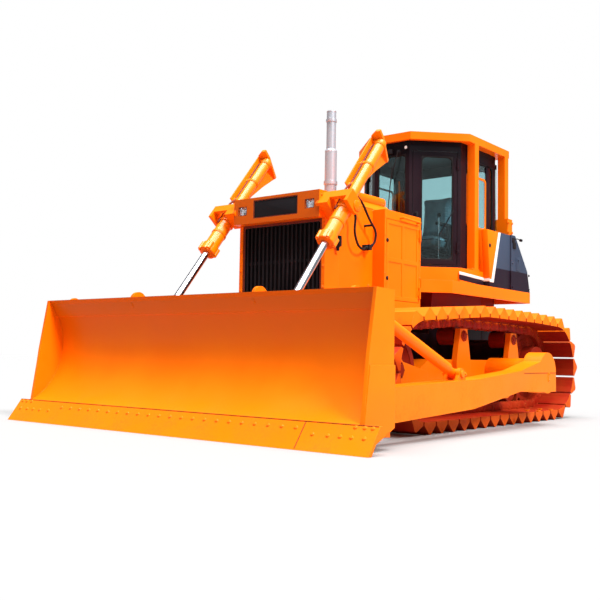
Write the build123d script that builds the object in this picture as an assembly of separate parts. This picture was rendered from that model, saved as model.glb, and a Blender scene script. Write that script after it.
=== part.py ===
from build123d import *
import math
import os

# A low-ground-pressure crawler dozer with a straight blade, lift cylinders on trunnion yokes,
# a six-sided cab under a rollover canopy, and wide triangular swamp shoes.
# Millimetres. +X is forward, +Y is the machine's left, +Z is up, the ground is Z = 0.
# The origin is on the ground, on the centreline, halfway between blade tip and drawbar end.
half_length = 2875            # blade tip to origin, and origin to drawbar end
seat_gap = 0.3                # clearance between pieces that seat on each other
running_gap = 0.3             # radial clearance of a pin in its bore
swing_gap = 6                 # side clearance of a moving piece

# Undercarriage
sprocket_x = -1985
ground_length = 3025          # sprocket axle to idler axle
idler_x = sprocket_x + ground_length
track_gauge = 2250            # centre to centre of the two tracks
track_y = track_gauge / 2
shoe_width = 910
track_inner_y = track_y - shoe_width / 2
track_outer_y = track_y + shoe_width / 2
shoe_height = 115             # plate's inner face to the ridge of the shoe
shoe_plate = 26
shoe_ridge = 24               # flat along the top of the ridge
shoe_count = 41
shoe_slot = 24                # open slot between two shoes
shoe_middle = 110             # half width that stays whole over the chain
sprocket_tip_r = 600          # out to the shoe ridges
idler_tip_r = 575
carrier_x = (-1370, -175)     # rear and front carrier rollers
carrier_tip_z = (1222, 1234)  # ridge height over each of them
carrier_r = 95
carrier_pin_r = 40
link_height = 95              # chain rail, inward from the shoe plates
rail_width = 42
rail_spread = 150             # between the two rails' centres
rail_gap = 2                  # wheels and rollers to the rails, which are short straight links
roller_count = 7
roller_r = 112
roller_width = 190
roller_margin = 60            # first and last roller, in from the frame's ends
track_frame_width = 230
track_frame_z = (250, 680)
frame_chamfer = 60
frame_nose_drop = (200, 110)  # slope at the frame's front end: back and down
post_plate = 60               # carrier roller's post, outside the frame
post_foot = 150
post_head = 75
sprocket_teeth = 25
tooth_depth = 62
sprocket_hub_r = 250
sprocket_hub = (130, 190)     # inward and outward of the track's centre
idler_width = 190
idler_hub_r = 90
idler_hub_half = 150
idler_web = 40                # half the idler's dished web
idler_rim = 60
idler_clear = 45              # frame's nose to the idler's rim
yoke_arm = 30                 # idler yoke's plates
yoke_arm_z = (330, 560)       # idler yoke's plates where they leave the frame
final_drive_r = 330
pivot_shaft_r = 70
pivot_shaft_at = (380, 480)   # x, z of the front cross shaft
rear_shaft_r = 90
rear_shaft_at = (-1345, 430)

# Hull and engine
hull_half = track_inner_y - 270
hull_z = (430, 980)
hull_x = (-2350, 1290)
hull_step_x = -1000           # where the hull rises under the cab
engine_x = (-20, 980)
engine_height = 760
engine_side_gap = 180         # engine to the hood's side

# Radiator guard and hood
service_half = track_inner_y - 20
service_depth = 150           # service box, out from the hood
hood_half = service_half - service_depth
guard_x = (1027, 1357)
guard_half = hood_half + 58
guard_z = (830, 2296)
guard_plate = 28
guard_rim = 40                # rim round the grille
guard_visor = 100             # header's overhang in front of the grille's rim
header_z = 2032               # underside of the header
header_panel_half = guard_half - 268
header_panel_z = (2080, 2268)
header_panel_depth = 12
grille_depth = 26
grille_back = 14              # grille's face behind its rim's
grille_rim = 30
bar_pitch = 54
bar_width = 16
bar_tie = (10, 24)            # ties behind the bars: depth and height
core_thick = 120
core_drop = 60                # core's top under the guard's roof
lamp_size = (116, 92)
lamp_depth = 37
lamp_y = guard_half - 120
lamp_z = 2168
lamp_back = 18
hood_top_z = 2362
hood_low_z = 1120
hood_flat = hood_half - 260
hood_shoulder = (90, 20)      # inward and down from the corner to the crown
hood_bevel = 110
hood_rear_x = -40
hood_sheet = 10
stack_at = (635, 150)
stack_r = (63, 50)
stack_step_z = 2855
stack_top_z = 3290
service_x = (-385, 345)
service_z = (1120, 2240)
service_frame = 30
service_inner = 20
service_door = 24
service_door_z = (1290, 2150)
door_panel_rim = 45           # raised rim between the cover's four panels
door_panel_depth = 6
handle_ends = ((45, 2185), (-300, 2175))   # x, z of the grab handle's feet
handle_reach = 45
handle_r = 11

# Fenders, cab base and rear tank
fender_half = 900
fender_z = (1420, 1560)
fender_sheet = 20
fender_x = (-2740, -400)
fender_chamfer = 260
base_half = 800
base_z = 1740
base_front_x = -500
base_nose_half = 270
tank_front_x = -2175
tank_lip = 6                  # tank's rear face in from the fender's edge
tank_top_z = 2255
tank_top_x = -2290
tank_knee = (80, 1830)        # forward of the rear face, and up

# Cab and rollover frame
cab_x = (-2150, -790)
cab_half = 690
cab_nose_half = 245
cab_wall = 45
cab_top_z = 3225
window_z = (2270, 3110)
windshield_z = 2080
window_jamb = (60, 130)       # rear and front of a side window
rear_jamb = 120
front_jamb = 45
glass = 6
glass_set = 15                # glass behind the cab's outer face
door_z = (1790, 3150)
door_jamb = 40
door_stile = (100, 45)        # front and rear upright of the door's frame
door_rail = 52                # top and bottom of the door's frame
post_size = 100
post_x = (-2250, -1430)
post_y = 750
post_base = (130, 180, 2470)  # rear post's base block: length, width, top
canopy_half = 800
canopy_nose_half = 289
canopy_x = (-2320, -740)
canopy_z = (3268, 3360)
seat_x = (-1900, -1400)
seat_half = 260
seat_top_z = 2230
backrest_x = (-1960, -1800)
backrest_top_z = 2800
console_x = (-1120, -930)
console_half = 150
console_top_z = 2350

# Door hinges
hinge_r = 12
hinge_pin_r = 7
hinge_out = 13                # pin's axis from the door's outer face
hinge_leaf = 60               # length of the leaf's knuckle
hinge_end = 30                # length of the frame's knuckle above it and below it
hinge_tab = (34, 6)
cab_hinge_z = (2000, 3000)
service_hinge_z = (1400, 2040)

# Rear hitch
hitch_half = 180
hitch_z = (470, 560)
hitch_plate = (60, 300, 460, 900)   # thickness, half width, bottom, top
hitch_pin_r = 30
hitch_pin_back = 90           # pin's centre from the drawbar's end

# Blade, measured back from its tip and up from the ground
blade_height = 1213
arm_width = 200
arm_y = track_outer_y + 120 + arm_width / 2
blade_half = arm_y + 230      # outside of the end plates
edge_half = blade_half + 152.5    # outside of the end bits
edge_back = 150
edge_height = 205
edge_thick = 30
edge_low = 42                 # thickness of the edge's sole
board_top_back = 313
board_depth = 490             # deepest point of the curve
board_thick = 22
end_plate = 30
end_plate_rear = 560
end_plate_foot = (245, 30)    # front foot of the end plate: back, up
side_plate_top = 635          # wear plate outside the end plate
side_plate_thick = 12
beam_size = (160, 160)        # box along the top of the blade's back: back, down
sill_z = (110, 420)           # box along the bottom of the blade's back
rib_depth = 95
rib_thick = 20
rib_y = (330, 1180, 1560)
lug_up = -33                  # lifting lug's centre from the blade's top
lug_back = 440
lug_thick = 32
blade_lugs = ((768, 90), (1750, 60))    # y and radius of each lug

# Push arms, their trunnions and braces
trunnion_x = -913
trunnion_z = 556
trunnion_r = 75
trunnion_neck_r = 150
trunnion_head_r = 215
trunnion_head_foot = 200      # pin to the head's flat underside
trunnion_wall = 40            # arm's closed side over the pin's end
brace_top = (600, blade_height - 161)   # back from the tip, up
brace_foot = (trunnion_x + 1858, 555)   # x, z
brace_r = 50
brace_eye_r = 46
brace_eye_width = 80
brace_neck_r = 34
brace_neck = 150              # length of the neck from each eye
brace_ear_r = 54
tilt_barrel_r = 70
tilt_rod_r = 34
tilt_barrel_length = 600
ear_thick = 32

# Lift cylinders: the trunnion yoke on the guard and the eye on the blade's back
lift_y = guard_half + 210
yoke_x = 1220
yoke_z = 2120
eye_back = 750
eye_z = blade_height - 195
eye_r = 70
eye_bore_r = 32
eye_width = 78
eye_ear_r = 75
barrel_r = 74
cover_tube_r = 55             # closed tube over the trunnion
cover_tube_end = 70           # where it meets the barrel, above the yoke pin
collar_r = 88
collar_half = 60
gland_r = 88
gland_length = 90
gland_lobe_r = 24
gland_lobe_at = 82
gland_down = 486              # yoke pin to the gland's face
cap_up = 950                  # yoke pin to the closed end
cap_thick = 60
rod_r = 38
rod_inside = 90               # rod's inner end, above the yoke pin
yoke_pin_r = 45
yoke_ear = 98                 # cylinder's axis to the inside of each cheek
yoke_cheek = 36
yoke_half = 80                # cheeks along the cylinder, either way from the pin
yoke_back = 60
yoke_bridge = (115, 150)      # bridge in front of the cylinder's axis
yoke_bridge_down = 10
pipe_plate_y = (86, 98)       # plate beside the cover tube, on the machine's right of its axis
pipe_plate = ((280, 80), (1000, 80), (1000, -268), (780, -195), (560, -140), (280, -95))   # up, ahead
pipe_web_up = (300, 620, 960)     # webs from the tube to that plate, and their thickness
pipe_web_thick = 30
pipe_web_half = 40
roof_plate = ((-98, 85), (-20, 130), (30, 125), (20, 20), (-70, -268), (-98, -268))   # left, ahead
roof_plate_up = (1000, 1030)

# Lift hoses beside the hood: x, outward from the hood's side, and z
hose_r = 12
hose_bend = 0.45              # share of the shorter run that each arc takes
fitting_r = 17
fitting_length = 42
hose_block_x = (490, 540)
hose_block_out = 90
hose_block_z = (1795, 1850)
hose_clip = (503, 2052)       # x, z
hose_clip_out = 103
hose_routes = (
    ((1203.9, 112, 2210.7), (1130.3, 112, 2300.3), (950, 113, 2350), (720, 110, 2280), (575, 106, 2110),
     (432, 100, 1995), (425, 85, 1885), (492, 65, 1822)),
    ((1134.4, 112, 2153.6), (1066.8, 112, 2236), (900, 112, 2230), (810, 108, 2110), (828, 100, 1945),
     (750, 90, 1820), (640, 75, 1783), (538, 60, 1822)))


def box(x, y, z):
    """Block between two corners, each axis given as a (low, high) pair."""
    size = (x[1] - x[0], y[1] - y[0], z[1] - z[0])
    centre = ((x[0] + x[1]) / 2, (y[0] + y[1]) / 2, (z[0] + z[1]) / 2)
    return Pos(*centre) * Box(*size)


def side_prism(outline, y):
    """Outline of (x, z) points drawn across the machine from y[0] to y[1]."""
    face = make_face(Polyline(*[(px, 0, pz) for px, pz in outline], close=True))
    return Pos(0, y[0], 0) * extrude(face, amount=y[1] - y[0], dir=(0, 1, 0))


def plan_prism(outline, z):
    """Outline of (x, y) points drawn upwards from z[0] to z[1]."""
    face = make_face(Polyline(*[(px, py) for px, py in outline], close=True))
    return Pos(0, 0, z[0]) * extrude(face, amount=z[1] - z[0], dir=(0, 0, 1))


def across_prism(outline, x):
    """Outline of (y, z) points drawn along the machine from x[0] to x[1]."""
    face = make_face(Polyline(*[(0, py, pz) for py, pz in outline], close=True))
    return Pos(x[0], 0, 0) * extrude(face, amount=x[1] - x[0], dir=(1, 0, 0))


def rod_between(a, b, radius):
    """Round bar from point a to point b."""
    start = Vector(*a)
    along = Vector(*b) - start
    return Plane(origin=start, z_dir=along) * Pos(0, 0, along.length / 2) * Cylinder(radius, along.length)


def cross_pin(x, z, radius, y):
    """Round bar along Y, from y[0] to y[1]."""
    return rod_between((x, y[0], z), (x, y[1], z), radius)


def mirror_y(shape):
    return mirror(shape, about=Plane.XZ)


def both(shape):
    """A left-hand piece with its mirror image on the right."""
    return shape + mirror_y(shape)


def full_outline(half):
    """Half outline of (x, y) points, closed by its mirror image."""
    return half + [(px, -py) for px, py in reversed(half)]


def about(middle, half):
    return (middle - half, middle + half)


parts = {}


def add_pair(name, shape):
    """Enter a left-hand piece and its mirror image as two nodes."""
    parts[f"{name}_left"] = shape
    parts[f"{name}_right"] = mirror_y(shape)


# The closed line of a track: arcs round the wheels, straight between them
def track_line(inset):
    """Arcs of the closed line that runs `inset` inside the ridge tips: (x, z, radius, start, sweep)."""
    depth = shoe_height + link_height
    wheels = [(sprocket_x, sprocket_tip_r, sprocket_tip_r)]
    wheels += [(x, tip - carrier_r - depth, carrier_r + depth) for x, tip in zip(carrier_x, carrier_tip_z)]
    wheels += [(idler_x, idler_tip_r, idler_tip_r)]
    leave = []
    for (x0, z0, r0), (x1, z1, r1) in zip(wheels, wheels[1:] + wheels[:1]):
        heading = math.atan2(z1 - z0, x1 - x0)
        leave.append(heading + math.pi / 2 + math.asin((r1 - r0) / math.hypot(x1 - x0, z1 - z0)))
    arcs = []
    for i, (x, z, r) in enumerate(wheels):
        sweep = (leave[i - 1] - leave[i]) % (2 * math.pi)
        arcs.append((x, z, r - inset, leave[i - 1], -sweep))
    return arcs


def runs(inset):
    """Each arc of the line with the straight that follows it: (arc, arc's end, next arc's start)."""
    arcs = track_line(inset)
    for arc, after in zip(arcs, arcs[1:] + arcs[:1]):
        x, z, r, start, sweep = arc
        xn, zn, rn, begin, _ = after
        end = start + sweep
        yield (arc, (x + r * math.cos(end), z + r * math.sin(end)),
               (xn + rn * math.cos(begin), zn + rn * math.sin(begin)))


def track_length(inset):
    return sum(abs(arc[4]) * arc[2] + math.dist(leave, join) for arc, leave, join in runs(inset))


def along_track(inset, distance):
    """Point and outward direction at a distance along the closed line."""
    distance %= track_length(inset)
    for (x, z, r, start, sweep), leave, join in runs(inset):
        if distance <= abs(sweep) * r:
            angle = start - distance / r
            return x + r * math.cos(angle), z + r * math.sin(angle), angle
        distance -= abs(sweep) * r
        straight = math.dist(leave, join)
        if distance <= straight:
            share = distance / straight
            return (leave[0] + share * (join[0] - leave[0]), leave[1] + share * (join[1] - leave[1]),
                    start + sweep)
        distance -= straight
    return x, z, start + sweep


def track_outline(inset, turn=math.radians(9)):
    """Closed outline of the line, with a point at each `turn` of its arcs."""
    points = []
    for x, z, r, start, sweep in track_line(inset):
        steps = math.ceil(abs(sweep) / turn)
        for i in range(steps + 1):
            angle = start + sweep * i / steps
            points.append((x + r * math.cos(angle), z + r * math.sin(angle)))
    return points


def shoe_outline():
    """Outer outline of all shoes: each is a low triangle with a flat ridge."""
    pitch = track_length(shoe_height) / shoe_count
    ridge = shoe_ridge / 2 / pitch
    # place along the shoe as a share of its pitch, and height above the plate's inner face
    profile = [(-0.5, shoe_plate), (-ridge, shoe_height), (ridge, shoe_height)]
    points = []
    for i in range(shoe_count):
        for share, height in profile:
            x, z, angle = along_track(shoe_height, (i + 0.5 + share) * pitch)
            points.append((x + height * math.cos(angle), z + height * math.sin(angle)))
    return points


def shoe_slots():
    """Open slots between the shoes, on both sides of the chain."""
    pitch = track_length(shoe_height) / shoe_count
    reach = shoe_width / 2 - shoe_middle + 1
    for i in range(shoe_count):
        x, z, angle = along_track(shoe_height, i * pitch)
        for side in (-1, 1):
            y = track_y + side * (shoe_middle + reach / 2)
            yield Pos(x, y, z) * Rot(Y=-math.degrees(angle)) * Box(2 * shoe_height, reach, shoe_slot)


def make_track():
    """Shoes and both chain rails as one closed loop."""
    ring_y = (track_inner_y, track_outer_y)
    loop = side_prism(shoe_outline(), ring_y) - side_prism(track_outline(shoe_height), ring_y)
    loop -= list(shoe_slots())
    inner = track_outline(shoe_height + link_height)
    outer = track_outline(shoe_height - shoe_plate / 2)
    for side in (-1, 1):
        span = about(track_y + side * rail_spread / 2, rail_width / 2)
        loop += side_prism(outer, span) - side_prism(inner, span)
    return loop


frame_side = track_y + track_frame_width / 2
idler_r = idler_tip_r - shoe_height - link_height - rail_gap
frame_x = (sprocket_x + sprocket_tip_r - shoe_height + 25, idler_x - idler_r - idler_clear)


def make_rollers():
    """Track rollers under the frame and carrier rollers on their posts."""
    roller_z = shoe_height + link_height + roller_r + rail_gap
    first, last = frame_x[0] + roller_margin, frame_x[1] - roller_margin
    width = about(track_y, roller_width / 2)
    z1 = track_frame_z[1]
    rollers = Part()
    for i in range(roller_count):
        rollers += cross_pin(first + (last - first) * i / (roller_count - 1), roller_z, roller_r, width)
    for x, tip in zip(carrier_x, carrier_tip_z):
        z = tip - shoe_height - link_height - carrier_r - rail_gap
        rollers += cross_pin(x, z, carrier_r, width)
        rollers += cross_pin(x, z, carrier_pin_r, (track_y, frame_side + post_plate))
        post = [(x - post_foot, z1 - 160), (x + post_foot, z1 - 160), (x + post_foot, z1 - 20),
                (x + post_head, z + post_head), (x - post_head, z + post_head), (x - post_foot, z1 - 20)]
        rollers += side_prism(post, (frame_side, frame_side + post_plate))
    return rollers


def make_track_frame():
    """Box beam with its rollers, the idler's yoke and the push arm's trunnion."""
    z0, z1 = track_frame_z
    tail, nose = frame_x
    slope, drop = frame_nose_drop
    beam = [(tail, z0 + frame_chamfer), (tail + 2 * frame_chamfer, z0), (nose, z0), (nose, z1 - drop),
            (nose - slope, z1), (tail + frame_chamfer, z1), (tail, z1 - frame_chamfer)]
    frame = side_prism(beam, about(track_y, track_frame_width / 2)) + make_rollers()
    yoke = [(nose - 160, yoke_arm_z[0]), (idler_x, idler_tip_r - 100), (idler_x, idler_tip_r + 100),
            (nose - 160, yoke_arm_z[1])]
    for side in (-1, 1):
        span = about(track_y + side * (idler_width / 2 + rail_gap + yoke_arm / 2), yoke_arm / 2)
        plate = side_prism(yoke, span) + cross_pin(idler_x, idler_tip_r, idler_hub_r + 40, span)
        frame += plate - cross_pin(idler_x, idler_tip_r, idler_hub_r + seat_gap, (span[0] - 1, span[1] + 1))
    arm_inside, arm_outside = about(arm_y, arm_width / 2)
    frame += cross_pin(trunnion_x, trunnion_z, trunnion_neck_r, (frame_side, arm_inside - swing_gap))
    frame += cross_pin(trunnion_x, trunnion_z, trunnion_r, (frame_side, arm_outside - trunnion_wall - swing_gap))
    return frame


def make_sprocket():
    r = sprocket_tip_r - shoe_height - 20
    # share of a tooth's pitch, and radius
    profile = [(-0.3, r - tooth_depth), (-0.1, r), (0.1, r), (0.3, r - tooth_depth)]
    outline = []
    for tooth in range(sprocket_teeth):
        for share, radius in profile:
            angle = (tooth + share) * 2 * math.pi / sprocket_teeth
            outline.append((sprocket_x + radius * math.cos(angle), sprocket_tip_r + radius * math.sin(angle)))
    wheel = side_prism(outline, about(track_y, (rail_spread - rail_width) / 2 - 8))
    return wheel + cross_pin(sprocket_x, sprocket_tip_r, sprocket_hub_r,
                             (track_y - sprocket_hub[0], track_y + sprocket_hub[1]))


def make_idler():
    """Dished wheel with a flange between the rails and a hub to its yoke."""
    flange = (rail_spread - rail_width) / 2 - 4
    half = idler_width / 2
    wheel = cross_pin(idler_x, idler_tip_r, idler_r, about(track_y, half))
    wheel += cross_pin(idler_x, idler_tip_r, idler_r + 34, about(track_y, flange))
    wheel -= cross_pin(idler_x, idler_tip_r, idler_r - idler_rim, (track_y + idler_web, track_y + half))
    wheel -= cross_pin(idler_x, idler_tip_r, idler_r - idler_rim, (track_y - half, track_y - idler_web))
    return wheel + cross_pin(idler_x, idler_tip_r, idler_hub_r, about(track_y, idler_hub_half))


add_pair("track", make_track())
add_pair("track_frame", make_track_frame())
add_pair("sprocket", make_sprocket())
add_pair("idler", make_idler())


def make_hull():
    """Welded hull with the guard's bolster, the hood's rails, final drives and cross shafts."""
    low, top = hull_z
    rear, front = hull_x
    seat = guard_z[0] - seat_gap
    deck = fender_z[1]
    outline = [(rear, low + 270), (rear + 150, low), (front - 260, low), (front, low + 200), (front, seat),
               (guard_x[0] - seat_gap, seat), (guard_x[0] - 130, top), (hull_step_x, top),
               (hull_step_x - 100, deck), (rear, deck)]
    hull = side_prism(outline, about(0, hull_half))
    hull += box((guard_x[0], front), about(0, guard_half), (seat - 120, seat))
    hull += both(box((hood_rear_x, guard_x[0] - seat_gap), (hull_half - 20, hood_half),
                     (top - 60, hood_low_z - seat_gap)))
    frame_inside = track_y - track_frame_width / 2 - seat_gap
    # x, z, radius and outer end of each shaft
    shafts = [(sprocket_x, sprocket_tip_r, final_drive_r, track_y - sprocket_hub[0] - seat_gap),
              (*pivot_shaft_at, pivot_shaft_r, frame_inside), (*rear_shaft_at, rear_shaft_r, frame_inside)]
    for x, z, radius, end in shafts:
        hull += both(cross_pin(x, z, radius, (hull_half - 20, end)))
    return hull


parts["main_frame"] = make_hull()
parts["engine_block"] = box(engine_x, about(0, hood_half - engine_side_gap),
                            (hull_z[1] + seat_gap, hull_z[1] + engine_height))

# Where the lift cylinders lie, from the yoke pin to the eye on the blade
pin = Vector(yoke_x, lift_y, yoke_z)
eye = Vector(half_length - eye_back, lift_y, eye_z)
down = (eye - pin).normalized()
ahead = Vector(-down.Z, 0, down.X)


def on_axis(distance):
    """Point on the cylinder's axis, measured from the yoke pin towards the blade."""
    return tuple(pin + down * distance)


def yoke_prism(along, forward, y):
    """Block in the cylinder's own directions: along it and in front of it, about the yoke pin."""
    corners = [(along[0], forward[0]), (along[1], forward[0]), (along[1], forward[1]), (along[0], forward[1])]
    points = [pin + down * a + ahead * b for a, b in corners]
    return side_prism([(spot.X, spot.Z) for spot in points], y)


def make_yoke():
    """Cheeks that hold the lift cylinder's trunnion, and the bridge in front of it."""
    inner = (guard_half - guard_plate, lift_y - yoke_ear)
    outer = (lift_y + yoke_ear, lift_y + yoke_ear + yoke_cheek)
    along = about(0, yoke_half)
    yoke = yoke_prism(along, (-yoke_back, yoke_bridge[1]), inner)
    yoke += yoke_prism(along, (0, yoke_bridge[1]), outer)
    yoke += cross_pin(yoke_x, yoke_z, yoke_half, outer)
    yoke += yoke_prism((-yoke_half, yoke_bridge_down), yoke_bridge, (inner[0], outer[1]))
    return yoke - cross_pin(yoke_x, yoke_z, yoke_pin_r + running_gap, (inner[1] - yoke_cheek, outer[1] + 1))


grille_front = guard_x[1] - guard_visor


def make_guard():
    """Heavy shell round the radiator, open behind and below, with the cylinders' yokes."""
    back, front = guard_x
    low, top = guard_z
    inside = about(0, guard_half - guard_plate)
    rim_back = grille_front - guard_plate
    guard = box(guard_x, about(0, guard_half), guard_z)
    guard -= box((grille_front, front + 1), about(0, guard_half + 1), (low - 1, header_z))
    guard -= box((back - 1, rim_back), inside, (low - 1, top - guard_plate))
    guard -= box((rim_back - 1, front - guard_plate), inside, (header_z + guard_plate, top - guard_plate))
    guard -= box((back, front), about(0, guard_half - guard_rim), (low + guard_rim, header_z))
    guard -= both(box((front - guard_plate - 1, front + 1), about(lamp_y, lamp_size[0] / 2),
                      about(lamp_z, lamp_size[1] / 2)))
    guard -= box((front - header_panel_depth, front + 1), about(0, header_panel_half), header_panel_z)
    return guard + both(make_yoke())


parts["radiator_guard"] = make_guard()


def make_hose(points):
    """Hose of straight runs and tangent arcs as large as the runs leave room for, with end fittings."""
    radii = []
    for before, corner, after in zip(points, points[1:], points[2:]):
        arrive = Vector(*corner) - Vector(*before)
        leave = Vector(*after) - Vector(*corner)
        half_turn = math.radians(arrive.get_angle(leave)) / 2
        radii.append(hose_bend * min(arrive.length, leave.length) / math.tan(half_turn))
    path = FilletPolyline(*points, radius=radii)
    hose = sweep(Plane(origin=path @ 0, z_dir=path % 0) * Circle(hose_r), path=path)
    for end, heading in ((path @ 0, path % 0), (path @ 1, (path % 1) * -1)):
        hose += rod_between(tuple(end), tuple(end + heading * fitting_length), fitting_r)
    return hose


hose_set = box(hose_block_x, (hood_half + seat_gap, hood_half + hose_block_out), hose_block_z)
hose_set += cross_pin(*hose_clip, hose_r, (hood_half + seat_gap, hood_half + hose_clip_out))
for route in hose_routes:
    hose_set += make_hose([(x, hood_half + out, z) for x, out, z in route])
parts["lift_hoses"] = both(hose_set)


def make_grille():
    """Frame with upright bars, tied behind by two flats."""
    front = grille_front - grille_back
    span = (front - grille_depth, front)
    half = guard_half - guard_rim - seat_gap
    low, high = guard_z[0] + guard_rim + seat_gap, header_z - seat_gap
    inside = (low + grille_rim, high - grille_rim)
    grille = box(span, about(0, half), (low, high))
    grille -= box((span[0] - 1, front + 1), about(0, half - grille_rim), inside)
    count = math.floor(2 * (half - grille_rim) / bar_pitch)
    for i in range(count):
        y = (i - (count - 1) / 2) * bar_pitch
        grille += box(span, about(y, bar_width / 2), (inside[0] - 1, inside[1] + 1))
    for share in (1 / 3, 2 / 3):
        z = inside[0] + share * (inside[1] - inside[0])
        grille += box((span[0], span[0] + bar_tie[0]), about(0, half - grille_rim + 1), about(z, bar_tie[1] / 2))
    return grille


parts["grille"] = make_grille()
parts["radiator_core"] = box(
    (guard_x[0], guard_x[0] + core_thick), about(0, guard_half - guard_plate - seat_gap),
    (guard_z[0] + seat_gap, guard_z[1] - guard_plate - core_drop))
parts["headlamps"] = both(box(
    (guard_x[1] - lamp_back - lamp_depth, guard_x[1] - lamp_back), about(lamp_y, lamp_size[0] / 2 - seat_gap),
    about(lamp_z, lamp_size[1] / 2 - seat_gap)))


def hood_outline(inset):
    """Section of the hood as (y, z) points, `inset` inside its sheet."""
    half, top = hood_half - inset, hood_top_z - inset
    side = [(half, hood_low_z - (1 if inset else 0)), (half, top - hood_bevel),
            (half - hood_shoulder[0], top - hood_shoulder[1]), (hood_flat, top)]
    return side + [(-y, z) for y, z in reversed(side)]


hood_x = (hood_rear_x, guard_x[0] - seat_gap)
parts["hood"] = (across_prism(hood_outline(0), hood_x)
                 - across_prism(hood_outline(hood_sheet), (hood_x[0] + hood_sheet, hood_x[1] + 1)))
stack_low = hood_top_z + seat_gap
parts["exhaust_stack"] = (
    Pos(*stack_at, (stack_low + stack_step_z) / 2) * Cylinder(stack_r[0], stack_step_z - stack_low)
    + Pos(*stack_at, (stack_step_z + stack_top_z) / 2) * Cylinder(stack_r[1], stack_top_z - stack_step_z))


def make_hinges(frame, heights):
    """Knuckles of a leaf, and those of its frame with their pins; x points away from the leaf."""
    width, thick = hinge_tab
    step = (hinge_leaf + hinge_end) / 2 + seat_gap
    leaf, fixed = Part(), Part()
    for z in heights:
        pin_frame = frame * Pos(0, z, hinge_out) * Rot(X=90)
        leaf += pin_frame * Cylinder(hinge_r, hinge_leaf)
        leaf += frame * Pos(-width / 2, z, thick / 2) * Box(width, hinge_leaf, thick)
        leaf -= pin_frame * Cylinder(hinge_pin_r + running_gap, hinge_leaf + 2)
        fixed += pin_frame * Cylinder(hinge_pin_r, 2 * step + hinge_end)
        for end in (-step, step):
            fixed += pin_frame * Pos(0, 0, end) * Cylinder(hinge_r, hinge_end)
            fixed += frame * Pos(width / 2, z + end, thick / 2) * Box(width, hinge_end, thick)
    return leaf, fixed


# Service boxes on the hood's sides, with a cover each that is hinged at its rear edge
cover_x = (service_x[0] + service_frame, service_x[1] - service_frame)
service_box = box(service_x, (hood_half + seat_gap, service_half), service_z)
service_box -= box(cover_x, (hood_half + service_inner, service_half + 1), service_door_z)
cover_frame = Plane(origin=(cover_x[0] + swing_gap / 2, service_half, 0), x_dir=(-1, 0, 0), z_dir=(0, 1, 0))
cover_knuckles, box_knuckles = make_hinges(cover_frame, service_hinge_z)
leaf_x = (cover_x[0] + swing_gap, cover_x[1] - swing_gap)
leaf_z = (service_door_z[0] + swing_gap, service_door_z[1] - swing_gap)
cover = box(leaf_x, (service_half - service_door, service_half), leaf_z)
panel_size = [(high - low - 3 * door_panel_rim) / 2 for low, high in (leaf_x, leaf_z)]
for column in (0, 1):
    for row in (0, 1):
        x = leaf_x[0] + door_panel_rim + column * (panel_size[0] + door_panel_rim)
        z = leaf_z[0] + door_panel_rim + row * (panel_size[1] + door_panel_rim)
        cover -= box((x, x + panel_size[0]), (service_half - door_panel_depth, service_half + 1),
                     (z, z + panel_size[1]))


def make_handle():
    """Grab handle near the service box's top: a bar on two feet."""
    handle = Part()
    bar_y = service_half + handle_reach
    ends = [(x, bar_y, z) for x, z in handle_ends]
    for x, y, z in ends:
        handle += cross_pin(x, z, handle_r, (service_half - 5, bar_y))
        handle += Pos(x, y, z) * Sphere(handle_r)
    return handle + rod_between(*ends, handle_r)


service_box += make_handle()
parts["service_boxes"] = both(service_box + box_knuckles)
add_pair("service_door", cover + cover_knuckles)


def deck_outline(inset):
    """Fender's deck as (x, y) points, `inset` inside its outer edges."""
    rear, front = fender_x[0] + inset, fender_x[1] - inset
    inner = hull_half + seat_gap - inset
    return [(front, inner), (front, service_half), (front - fender_chamfer, fender_half - inset),
            (rear, fender_half - inset), (rear, inner)]


deck_inside = plan_prism(deck_outline(fender_sheet), (fender_z[0] - 1, fender_z[1] - fender_sheet))
parts["fenders"] = both(plan_prism(deck_outline(0), fender_z) - deck_inside)
base_nose = base_front_x - base_half + base_nose_half
base_plan = [(base_front_x, base_nose_half), (base_nose, base_half), (tank_front_x + seat_gap, base_half)]
parts["cab_base"] = plan_prism(full_outline(base_plan), (fender_z[1] + seat_gap, base_z))
tank_rear_x = fender_x[0] + tank_lip
parts["fuel_tank"] = side_prism(
    [(tank_front_x, fender_z[1] + seat_gap), (tank_front_x, tank_top_z), (tank_top_x, tank_top_z),
     (tank_rear_x + tank_knee[0], tank_knee[1]), (tank_rear_x, fender_z[1] + seat_gap)],
    about(0, fender_half))


# Cab walls, cut for each window; the plan has a narrow nose and slanted doors
cab_run = cab_half - cab_nose_half


def cab_plan(inset):
    slant = inset * (math.sqrt(2) - 1)
    side = cab_half - inset
    return full_outline([(cab_x[1] - inset, cab_nose_half - slant), (cab_x[1] - cab_run - slant, side),
                         (cab_x[0] + inset, side)])


# On the left slanted face: x along the door from front to rear, y up, z outwards
slant_frame = Plane(origin=(cab_x[1] - cab_run / 2, cab_nose_half + cab_run / 2, 0),
                    x_dir=(-1, 1, 0), z_dir=(1, 1, 0))
door_half = cab_run / math.sqrt(2) - door_jamb
door_knuckles, cab_knuckles = make_hinges(slant_frame * Pos(door_half - swing_gap / 2, 0, 0), cab_hinge_z)
side_x = (cab_x[0] + window_jamb[0], cab_x[1] - cab_run - window_jamb[1])


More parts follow.
